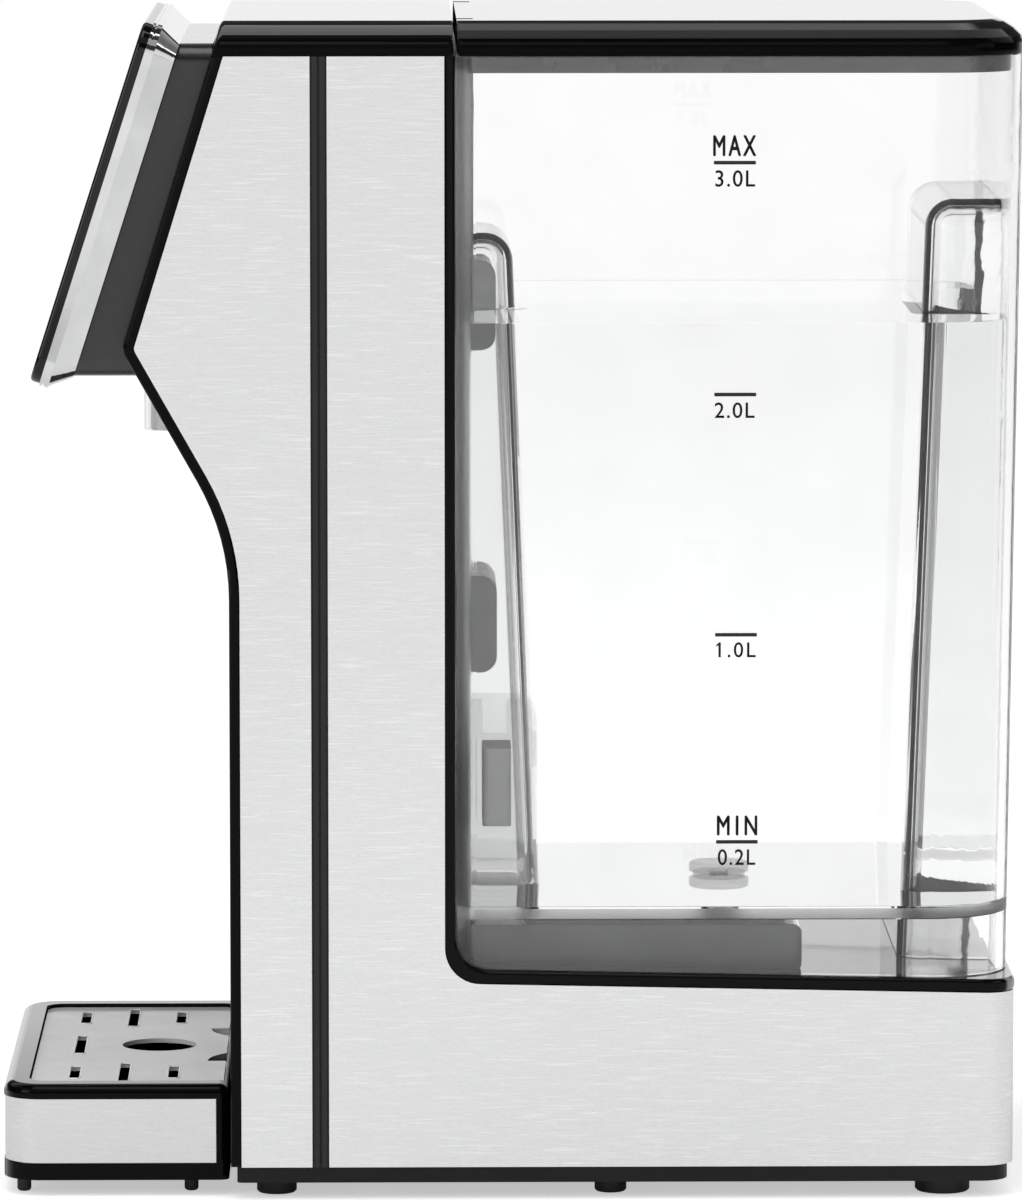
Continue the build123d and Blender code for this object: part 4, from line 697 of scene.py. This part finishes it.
def tank_share(height):
    """How far up the drafted wall a height is, from 0 to 1."""
    return (height - TANK_LOW) / (TANK_TOP - TANK_LOW)


def tank_side(height):
    """Half width of the tank outside at a height, in millimetres."""
    return TANK_HALF - SIDE_DRAFT * (1 - tank_share(height))


def recess_depth(recess, height):
    """Depth of a recess at a height, in millimetres."""
    width, top_depth, bottom_depth, top = recess
    share = (height - TANK_LOW) / (top - TANK_LOW)
    return bottom_depth + (top_depth - bottom_depth) * share


def arc(centre_x, centre_y, radius, start, end, steps):
    """Points of an arc in plan, from one angle to another in degrees."""
    angles = [radians(start + (end - start) * step / steps) for step in range(steps + 1)]
    return [(centre_x + radius * cos(a), centre_y + radius * sin(a)) for a in angles]


def water_outline(height, gap):
    """Half of the water's outline in plan at a height, from the front middle round to the back."""
    inset = TANK_WALL + gap
    half = tank_side(height) - inset
    front = TANK_FRONT + inset
    back = TANK_BACK - BACK_DRAFT * (1 - tank_share(height)) - inset
    near = TANK_FRONT + recess_depth(FRONT_RECESS, height) + inset
    far = TANK_BACK - recess_depth(REAR_RECESS, height) - inset
    near_half = FRONT_RECESS[0] / 2 + inset
    far_half = REAR_RECESS[0] / 2 + inset
    inner = FRONT_ROUND - TANK_WALL
    outer = BACK_ROUND - TANK_WALL
    turn = RECESS_ROUND + TANK_WALL
    return [
        (0.0, near), *arc(near_half - turn, near - turn, turn, 90, 0, RECESS_STEPS),
        (near_half, front), *arc(half - inner, front + inner, inner, -90, 0, FRONT_STEPS),
        *arc(half - outer, back - outer, outer, 0, 90, BACK_STEPS), (far_half, back),
        *arc(far_half - turn, far + turn, turn, 0, -90, RECESS_STEPS), (0.0, far),
    ]


def bridge(work, near, far):
    """Faces between two rings of vertices."""
    for place in range(len(near)):
        after = (place + 1) % len(near)
        work.faces.new((near[place], near[after], far[after], far[place]))


def mesh_from(work, name):
    """Mesh of a bmesh, which is freed."""
    mesh = bpy.data.meshes.new(name)
    work.to_mesh(mesh)
    work.free()
    return mesh


def ring_mesh(name, rings, split=True):
    """Closed shell through rings of points of one length, in millimetres, capped at both ends; the
    caps may be split into triangles."""
    work = bmesh.new()
    loops = [[work.verts.new(Vector(point) * MM) for point in ring] for ring in rings]
    for low, high in zip(loops, loops[1:]):
        bridge(work, low, high)
    for loop in (loops[0], loops[-1]):
        cap = work.faces.new(loop)
        if split:
            bmesh.ops.triangulate(work, faces=[cap])
    bmesh.ops.recalc_face_normals(work, faces=work.faces)
    return mesh_from(work, name)


class DISPENSER_OT_water(bpy.types.Operator):
    """Fill the tank with water up to its level"""

    bl_idname = "dispenser.water"
    bl_label = "Water"

    def execute(self, context):
        gap = sizes().water_gap / MM
        level = sizes().water_level / MM
        steps = [(TANK_FLOOR + rise, 0.0) for rise in (gap, *WATER_HEIGHTS)]
        steps += [(level + rise, inset) for rise, inset in WATER_RIM]
        rings = []
        for height, inset in steps:
            half = water_outline(height, gap + inset)
            other = [(-x, y) for x, y in reversed(half[1:-1])]
            rings.append([(x, y, height) for x, y in half + other])
        mesh = ring_mesh("tank_water", rings)
        add_object("tank_water", mesh, "tank", finish("water"))
        return {"FINISHED"}


# Scale print, in millimetres: words in boxes (Y from, Y to, Z from, Z to), with their spacing and
# how much bolder they are; the flag of the figure 1; and lines by their middle (Y, Z)
SCALE_WORDS = (
    ("MAX", 51.8, 62.7, 273.3, 278.5, 1.3, 0.14),
    ("3.0L", 52.3, 62.5, 265.3, 269.5, 1.12, 0.05),
    ("2.0L", 52.3, 62.6, 205.3, 209.3, 1.12, 0.05),
    ("1.0L", 53.5, 63.1, 142.8, 146.7, 1.2, 0.05),
    ("MIN", 53.3, 63.6, 96.1, 101.1, 1.45, 0.14),
    ("0.2L", 53.5, 63.2, 88.2, 92.3, 1.12, 0.05),
)
ONE_FLAG = ((53.6, 146.75), (52.8, 145.95), (52.95, 145.55), (53.6, 146.1))
SCALE_LINES = ((57.3, 271.5), (57.6, 211.4), (58.0, 148.7), (58.4, 94.3))
SCALE_LINE_LENGTH, SCALE_LINE_HEIGHT = 10.9, 0.95
# Radius of a line's corners as a share of its height
LINE_CORNER = 0.25
# Steps of rounded corners, of the lettering's curves and of a slot bead's section
LINE_STEPS, SLOT_STEPS, LETTER_STEPS, BEAD_STEPS = 3, 4, 6, 8


def evaluated_mesh(item):
    """New mesh of what an object's curve or modifiers give; the object is removed."""
    bpy.context.view_layer.update()
    graph = bpy.context.evaluated_depsgraph_get()
    mesh = bpy.data.meshes.new_from_object(item.evaluated_get(graph))
    bpy.data.objects.remove(item)
    return mesh


def word_mesh(text, box, place, spacing=1.0):
    """Lettering in a box (across from, to, up from, to), in millimetres, on the surface that a
    function of across and up gives."""
    curve = bpy.data.curves.new("word", "FONT")
    curve.body = text
    curve.space_character = spacing
    curve.resolution_u = LETTER_STEPS
    mesh = evaluated_mesh(linked_object("word", curve))
    xs = [v.co.x for v in mesh.vertices]
    ys = [v.co.y for v in mesh.vertices]
    left, right, foot, head = box
    start_x, start_y = min(xs), min(ys)
    wide, high = (right - left) / (max(xs) - start_x), (head - foot) / (max(ys) - start_y)
    for vertex, x, y in zip(mesh.vertices, xs, ys):
        vertex.co = place(left + wide * (x - start_x), foot + high * (y - start_y)) * MM
    return mesh


def joined_mesh(name, meshes):
    """Several meshes as one."""
    work = bmesh.new()
    for mesh in meshes:
        work.from_mesh(mesh)
        bpy.data.meshes.remove(mesh)
    return mesh_from(work, name)


def wall_place(y, z):
    """Point of the print on the tank's right wall, in millimetres."""
    return Vector((tank_side(z) + sizes().print_height / MM, y, z))


def print_scale_words():
    """Lettering of the litre scale; copies a little apart make its strokes bolder."""
    words = []
    for text, y0, y1, z0, z1, spacing, gain in SCALE_WORDS:
        for y, z in ((-gain, 0), (gain, 0), (0, -gain), (0, gain)):
            words.append(word_mesh(text, (y0 + y, y1 + y, z0 + z, z1 + z), wall_place, spacing))
    flag = bpy.data.meshes.new("flag")
    flag.from_pydata([wall_place(y, z) * MM for y, z in ONE_FLAG], [], [(0, 1, 2, 3)])
    return joined_mesh("scale_words", [*words, flag])


def geometry_tree(name, **inputs):
    """Geometry Nodes tree with a material and other named inputs; returns it with its two ends."""
    rows = [("Geometry", "Geometry"), *inputs.items(), ("Material", "Material")]
    return new_tree("GeometryNodeTree", name, rows, [("Geometry", "Geometry")])


def copy_to_points(tree, start, end, piece, **inputs):
    """Put a copy of a piece on each point, realise the copies and give them their material."""
    copies = add_node(
        tree, "GeometryNodeInstanceOnPoints", Points=start.outputs["Geometry"], Instance=piece,
        **inputs,
    )
    real = add_node(tree, "GeometryNodeRealizeInstances", Geometry=copies.outputs["Instances"])
    paint = add_node(
        tree, "GeometryNodeSetMaterial", Geometry=real.outputs["Geometry"],
        Material=start.outputs["Material"],
    )
    feed(tree, end, Geometry=paint.outputs["Geometry"])


def rounded_outline(tree, width, height, radius, steps):
    """Rectangle with rounded corners, as a curve."""
    outline = add_node(tree, "GeometryNodeCurvePrimitiveQuadrilateral", Width=width, Height=height)
    return add_node(
        tree, "GeometryNodeFilletCurve", {"mode": "POLY"}, Curve=outline.outputs["Curve"],
        Count=steps, Radius=radius,
    ).outputs["Curve"]


def grown_mesh(name, tree, points, **values):
    """Mesh that a tree makes on a set of points, in millimetres, with its inputs set by name."""
    seed = bpy.data.meshes.new(name + "_points")
    seed.from_pydata([Vector(point) * MM for point in points], [], [])
    carrier = linked_object(name + "_carrier", seed)
    modifier = carrier.modifiers.new("copies", "NODES")
    modifier.node_group = tree
    for item in tree.interface.items_tree:
        if item.in_out == "INPUT" and item.name in values:
            modifier[item.identifier] = values[item.name]
    mesh = evaluated_mesh(carrier)
    mesh.name = name
    return mesh


def scale_lines_tree():
    """Flat printed bars facing +X, one on each point."""
    tree, start, end = geometry_tree("scale_lines", Length="Float", Height="Float", Tilt="Vector")
    given = start.outputs
    corner = math_node(tree, "MULTIPLY", given["Height"], LINE_CORNER)
    bar = rounded_outline(tree, given["Length"], given["Height"], corner, LINE_STEPS)
    filled = add_node(tree, "GeometryNodeFillCurve", Curve=bar)
    copy_to_points(tree, start, end, filled.outputs["Mesh"], Rotation=given["Tilt"])
    return tree


def slot_beads_tree():
    """Rolled edge round a rounded slot, one on each point."""
    tree, start, end = geometry_tree(
        "slot_beads", Length="Float", Width="Float", Corner="Float", Bead="Float"
    )
    given = start.outputs
    rim = rounded_outline(tree, given["Length"], given["Width"], given["Corner"], SLOT_STEPS)
    section = add_node(
        tree, "GeometryNodeCurvePrimitiveCircle", Resolution=BEAD_STEPS, Radius=given["Bead"]
    )
    sweep = add_node(
        tree, "GeometryNodeCurveToMesh", Curve=rim, Profile_Curve=section.outputs["Curve"]
    )
    copy_to_points(tree, start, end, sweep.outputs["Mesh"])
    return tree


def screw_heads_tree():
    """Copies of a screw head, turned one way, one on each point."""
    tree, start, end = geometry_tree("screw_heads", Head="Object", Turn="Vector")
    head = add_node(tree, "GeometryNodeObjectInfo", Object=start.outputs["Head"])
    copy_to_points(tree, start, end, head.outputs["Geometry"], Rotation=start.outputs["Turn"])
    return tree


class DISPENSER_OT_scale_print(bpy.types.Operator):
    """Print the litre scale on the tank"""

    bl_idname = "dispenser.scale_print"
    bl_label = "Litre scale"

    def execute(self, context):
        ink = finish("scale_ink")
        draft = SIDE_DRAFT / (TANK_TOP - TANK_LOW)
        lines = grown_mesh(
            "scale_lines", scale_lines_tree(), [wall_place(y, z) for y, z in SCALE_LINES],
            Length=SCALE_LINE_LENGTH * MM, Height=SCALE_LINE_HEIGHT * MM,
            Tilt=Vector((pi / 2 + draft, 0, pi / 2)), Material=ink,
        )
        add_object("scale_words", print_scale_words(), "tank", ink)
        add_object("scale_lines", lines, "tank", ink)
        return {"FINISHED"}


# Slots of the grille, in millimetres: centres (X, Y) by their length, their width, and how deep
# their beads lie under the plate's top
SLOTS = {
    18.0: [(x, y) for x in (-43.4, 43.4) for y in (-115.5, -89.4)],
    28.0: [(-43.4, -102.45), (43.4, -102.45), (0.0, -115.5)],
}
SLOT_WIDTH, PLATE_TOP, BEAD_DEPTH = 3.0, 28.5, 0.1


class DISPENSER_OT_slot_beads(bpy.types.Operator):
    """Roll the edges of the grille's slots"""

    bl_idname = "dispenser.slot_beads"
    bl_label = "Slot edges"

    def execute(self, context):
        tree = slot_beads_tree()
        steel = finish("plate_steel")
        meshes = [
            grown_mesh(
                "beads", tree, [(x, y, PLATE_TOP - BEAD_DEPTH) for x, y in places],
                Length=length * MM, Width=SLOT_WIDTH * MM, Corner=SLOT_WIDTH / 4 * MM,
                Bead=sizes().slot_bead, Material=steel,
            )
            for length, places in SLOTS.items()
        ]
        mesh = joined_mesh("slot_beads", meshes)
        add_object("slot_beads", mesh, "grille", steel)
        return {"FINISHED"}


# Screws, in millimetres: centres on the back wall (X, Y, Z), size of a head, its dome as shares of
# its radius and height, and its cross as shares of the radius with the half angle of an arm
BACK_SCREWS = [(x, 131.35, z) for x in (-48.0, 48.0) for z in (15.5, 48.0)]
HEAD_RADIUS, HEAD_HEIGHT, HEAD_STEPS = 2.6, 1.1, 32
HEAD_DOME = ((1.0, 0.0), (1.0, 0.35), (0.93, 0.68), (0.72, 0.92), (0.62, 1.0))
CROSS_REACH, CROSS_WAIST, CROSS_ANGLE = 0.5, 0.176, 0.12
# Floor of the cross: its size as a share of the cross, its height as a share of the head's
CROSS_FLOOR, CROSS_FLOOR_HEIGHT = 0.8, 0.35


def circle(radius, steps):
    """Points evenly round the origin."""
    return arc(0.0, 0.0, radius, 0, 360, steps)[:-1]


def screw_head_mesh():
    """Domed screw head with a cross recess, lying on the XY plane."""
    rings = [
        [(x, y, rise * HEAD_HEIGHT) for x, y in circle(share * HEAD_RADIUS, HEAD_STEPS)]
        for share, rise in HEAD_DOME
    ]
    cross = []
    for step, (x, y) in enumerate(circle(HEAD_RADIUS, HEAD_STEPS)):
        from_arm = abs((2 * pi * step / HEAD_STEPS + pi / 4) % (pi / 2) - pi / 4)
        share = CROSS_REACH if from_arm < CROSS_ANGLE else CROSS_WAIST
        cross.append((share * x, share * y))
    rings.append([(x, y, HEAD_HEIGHT) for x, y in cross])
    rings.append([
        (CROSS_FLOOR * x, CROSS_FLOOR * y, CROSS_FLOOR_HEIGHT * HEAD_HEIGHT) for x, y in cross
    ])
    return ring_mesh("screw_head", rings, split=False)


class DISPENSER_OT_screws(bpy.types.Operator):
    """Put the screws in the back wall"""

    bl_idname = "dispenser.screws"
    bl_label = "Screws"

    def execute(self, context):
        head = linked_object("screw_template", screw_head_mesh())
        steel = finish("plain_steel")
        mesh = grown_mesh(
            "back_screws", screw_heads_tree(), BACK_SCREWS, Head=head,
            Turn=Vector((-pi / 2, 0, 0)), Material=steel,
        )
        bpy.data.objects.remove(head)
        add_object("back_screws", mesh, "root", steel)
        return {"FINISHED"}


# Control face, in millimetres: its foot and its lean; words in boxes (X from, X to, up from, up
# to); rings by their middle (X, up), with their radius and width
FACE_FOOT = Vector((0.0, -125.6, 214.0))
FACE_LEAN = radians(17.9)
FACE_WORDS = (
    ("98", -9.0, 5.0, 62.0, 74.0), ("°C", 7.0, 13.5, 68.0, 74.0),
    ("40", -29.0, -23.0, 40.6, 44.8), ("75", -3.0, 3.0, 40.6, 44.8),
    ("98", 23.0, 29.0, 40.6, 44.8), ("-", -28.0, -24.0, 20.4, 21.2),
    ("OK", -3.2, 3.2, 18.7, 22.9), ("+", 24.0, 28.0, 18.8, 22.8),
)
FACE_RINGS = [(x, up) for up in (42.7, 20.8) for x in (-26.0, 0.0, 26.0)]
RING_RADIUS, RING_WIDTH, RING_STEPS = 6.4, 0.35, 48


def face_place(x, up):
    """Point of the print on the control face, in millimetres: across, and up from its foot."""
    rise = Vector((0, sin(FACE_LEAN), cos(FACE_LEAN)))
    out = Vector((0, -cos(FACE_LEAN), sin(FACE_LEAN)))
    off = sizes().print_height / MM
    return FACE_FOOT + Vector((x, 0, 0)) + rise * up + out * off


def face_ring(x, up):
    """Flat printed ring round a point of the control face."""
    work = bmesh.new()
    outer, inner = [
        [work.verts.new(face_place(x + px, up + py) * MM) for px, py in circle(radius, RING_STEPS)]
        for radius in (RING_RADIUS, RING_RADIUS - RING_WIDTH)
    ]
    bridge(work, outer, inner)
    return mesh_from(work, "ring")


class DISPENSER_OT_face_print(bpy.types.Operator):
    """Print the touch fields and numbers on the control glass"""

    bl_idname = "dispenser.face_print"
    bl_label = "Control face"

    def execute(self, context):
        marks = [word_mesh(text, box, face_place) for text, *box in FACE_WORDS]
        marks += [face_ring(x, up) for x, up in FACE_RINGS]
        mesh = joined_mesh("face_print", marks)
        add_object("face_print", mesh, "root", finish("panel_print"))
        return {"FINISHED"}


# Floor: its roughness, and how brightly each kind of ray sees it glow
FLOOR_ROUGHNESS = 0.9
FLOOR_GLOW = {"Is Camera Ray": 0.5, "Is Transmission Ray": 0.42, "Is Glossy Ray": 0.1}


def studio_floor():
    """Pale floor that reads white to the eye and keeps the shadow."""
    work = bmesh.new()
    bmesh.ops.create_grid(work, x_segments=8, y_segments=8, size=sizes().floor_size / 2)
    tree, shader = base_material(
        "studio_floor", Roughness=FLOOR_ROUGHNESS, Base_Color=rgba("floor")
    )
    path = tree.nodes.new("ShaderNodeLightPath")
    strength = 0.0
    for ray, level in FLOOR_GLOW.items():
        seen = math_node(tree, "MULTIPLY", path.outputs[ray], level)
        strength = math_node(tree, "MAXIMUM", seen, strength)
    glow = add_node(tree, "ShaderNodeEmission", Strength=strength)
    both = tree.nodes.new("ShaderNodeAddShader")
    fill(tree, both.inputs[0], shader.outputs["BSDF"])
    fill(tree, both.inputs[1], glow.outputs["Emission"])
    feed(tree, tree.nodes["Material Output"], Surface=both.outputs["Shader"])
    mesh = mesh_from(work, "studio_floor")
    mesh.materials.append(finish("studio_floor"))
    linked_object("studio_floor", mesh)


# Studio as polished and clear surfaces see it: how high a direction points, and how bright it is
STUDIO_BANDS = (
    (0.0, 1.0), (0.03, 0.93), (0.165, 0.93), (0.2, 0.04), (0.48, 0.04), (0.51, 0.6), (0.54, 0.4),
    (0.74, 0.4), (0.77, 0.6), (0.8, 0.03),
)
# Where its sides begin, and their share of light for a polished and for a clear surface
STUDIO_SIDES, SIDE_LIGHT = (0.6, 0.85), (0.05, 0.35)
WORLD_LEVEL = 0.62
WHITE = (1, 1, 1, 1)


def studio_view(tree, clear):
    """Brightness by direction: white before and behind, one soft light overhead, and sides that are
    dark to a polished surface and dim to a clear one."""
    parts = vector_parts(tree, tree.nodes.new("ShaderNodeTexCoord").outputs["Generated"])
    value = STUDIO_BANDS[0][1]
    for (low, first), (high, second) in zip(STUDIO_BANDS, STUDIO_BANDS[1:]):
        if first != second:
            step = range_node(tree, parts["Z"], (low, high), (0.0, second - first))
            value = math_node(tree, "ADD", step, value)
    across = math_node(tree, "ABSOLUTE", parts["Y"])
    side = range_node(tree, clear, (0.0, 1.0), SIDE_LIGHT)
    return math_node(tree, "MULTIPLY", value, range_node(tree, across, STUDIO_SIDES, (1.0, side)))


def studio_world():
    """World that lights the object at a plain level and shows a white studio."""
    world = bpy.data.worlds.new("studio")
    world.use_nodes = True
    tree = world.node_tree
    rays = tree.nodes.new("ShaderNodeLightPath").outputs
    camera, clear = rays["Is Camera Ray"], rays["Is Transmission Ray"]
    strength = range_node(tree, camera, (0.0, 1.0), (studio_view(tree, clear), 1.0))
    soft = tree.nodes["Background"]
    feed(tree, soft, Color=WHITE, Strength=WORLD_LEVEL)
    white = add_node(tree, "ShaderNodeBackground", Color=WHITE, Strength=strength)
    seen = math_node(tree, "MAXIMUM", camera, rays["Is Glossy Ray"])
    seen = math_node(tree, "MAXIMUM", seen, clear)
    mix = add_node(tree, "ShaderNodeMixShader", Fac=seen)
    fill(tree, mix.inputs[1], soft.outputs["Background"])
    fill(tree, mix.inputs[2], white.outputs["Background"])
    feed(tree, tree.nodes["World Output"], Surface=mix.outputs["Shader"])
    bpy.context.scene.world = world


# Lamps, in metres and watts: place, side and power; all of them aim at one point
LAMP_AIM = Vector((0, 0, 0.15))
LAMPS = {
    "lamp_above": ((0.5, -0.2, 1.9), 1.1, 9.0),
    "lamp_front": ((1.1, -1.6, 0.9), 0.9, 7.0),
    "lamp_back": ((0.9, 1.7, 0.9), 0.9, 5.0),
}
# Camera: where it stands, the point at the middle of the picture, its lens and its sensor in
# millimetres, and the nearest that it sees
CAMERA_PLACE = (2.211, -0.0323, 0.407)
CAMERA_AIM = Vector((0.076, -0.0005, 0.1581))
CAMERA_LENS, CAMERA_SENSOR, CAMERA_NEAR = 248.6, 36.0, 0.05


def aimed_object(name, data, place, aim):
    """Lamp or camera at a place, looking at a point."""
    holder = linked_object(name, data)
    holder.location = place
    holder.rotation_euler = (aim - Vector(place)).to_track_quat("-Z", "Y").to_euler()
    return holder


def studio_lamps():
    """Square soft lamps."""
    for name, (place, side, power) in LAMPS.items():
        lamp = bpy.data.lights.new(name, "AREA")
        lamp.shape = "SQUARE"
        lamp.size = side
        lamp.energy = power
        aimed_object(name, lamp, place, LAMP_AIM)


def studio_camera():
    """Camera at the picture's angle."""
    camera = bpy.data.cameras.new("camera")
    camera.lens = CAMERA_LENS
    camera.sensor_width = CAMERA_SENSOR
    camera.clip_start = CAMERA_NEAR
    bpy.context.scene.camera = aimed_object("camera", camera, CAMERA_PLACE, CAMERA_AIM)


class DISPENSER_OT_stage(bpy.types.Operator):
    """Set up the floor, the lamps, the world and the camera"""

    bl_idname = "dispenser.stage"
    bl_label = "Studio"

    def execute(self, context):
        studio_floor()
        studio_world()
        studio_lamps()
        studio_camera()
        context.scene.view_settings.view_transform = "Standard"
        return {"FINISHED"}


# In the order that they run in
OPERATORS = (
    DISPENSER_OT_finishes, DISPENSER_OT_body, DISPENSER_OT_head, DISPENSER_OT_insides,
    DISPENSER_OT_tank, DISPENSER_OT_lid, DISPENSER_OT_tray, DISPENSER_OT_water,
    DISPENSER_OT_scale_print, DISPENSER_OT_slot_beads, DISPENSER_OT_screws,
    DISPENSER_OT_face_print, DISPENSER_OT_stage,
)


class DISPENSER_PT_panel(bpy.types.Panel):
    """Dispenser looks in the sidebar"""

    bl_idname = "DISPENSER_PT_panel"
    bl_label = "Hot water dispenser"
    bl_space_type = "VIEW_3D"
    bl_region_type = "UI"
    bl_category = "Dispenser"

    def draw(self, context):
        for group in (context.scene.dispenser_sizes, context.scene.dispenser_colours):
            for name in group.__annotations__:
                self.layout.prop(group, name)
        for operator in OPERATORS:
            self.layout.operator(operator.bl_idname)


CLASSES = (DispenserColours, DispenserSizes, *OPERATORS, DISPENSER_PT_panel)


def register():
    """Register the classes and hang the settings on the scene."""
    for item in CLASSES:
        bpy.utils.register_class(item)
    bpy.types.Scene.dispenser_colours = PointerProperty(type=DispenserColours)
    bpy.types.Scene.dispenser_sizes = PointerProperty(type=DispenserSizes)


def unregister():
    """Take the settings and the classes away again."""
    del bpy.types.Scene.dispenser_sizes
    del bpy.types.Scene.dispenser_colours
    for item in reversed(CLASSES):
        bpy.utils.unregister_class(item)


def main():
    """Build the looks in order."""
    register()
    for operator in OPERATORS:
        getattr(bpy.ops.dispenser, operator.bl_idname.partition(".")[2])()


if __name__ == "__main__":
    main()
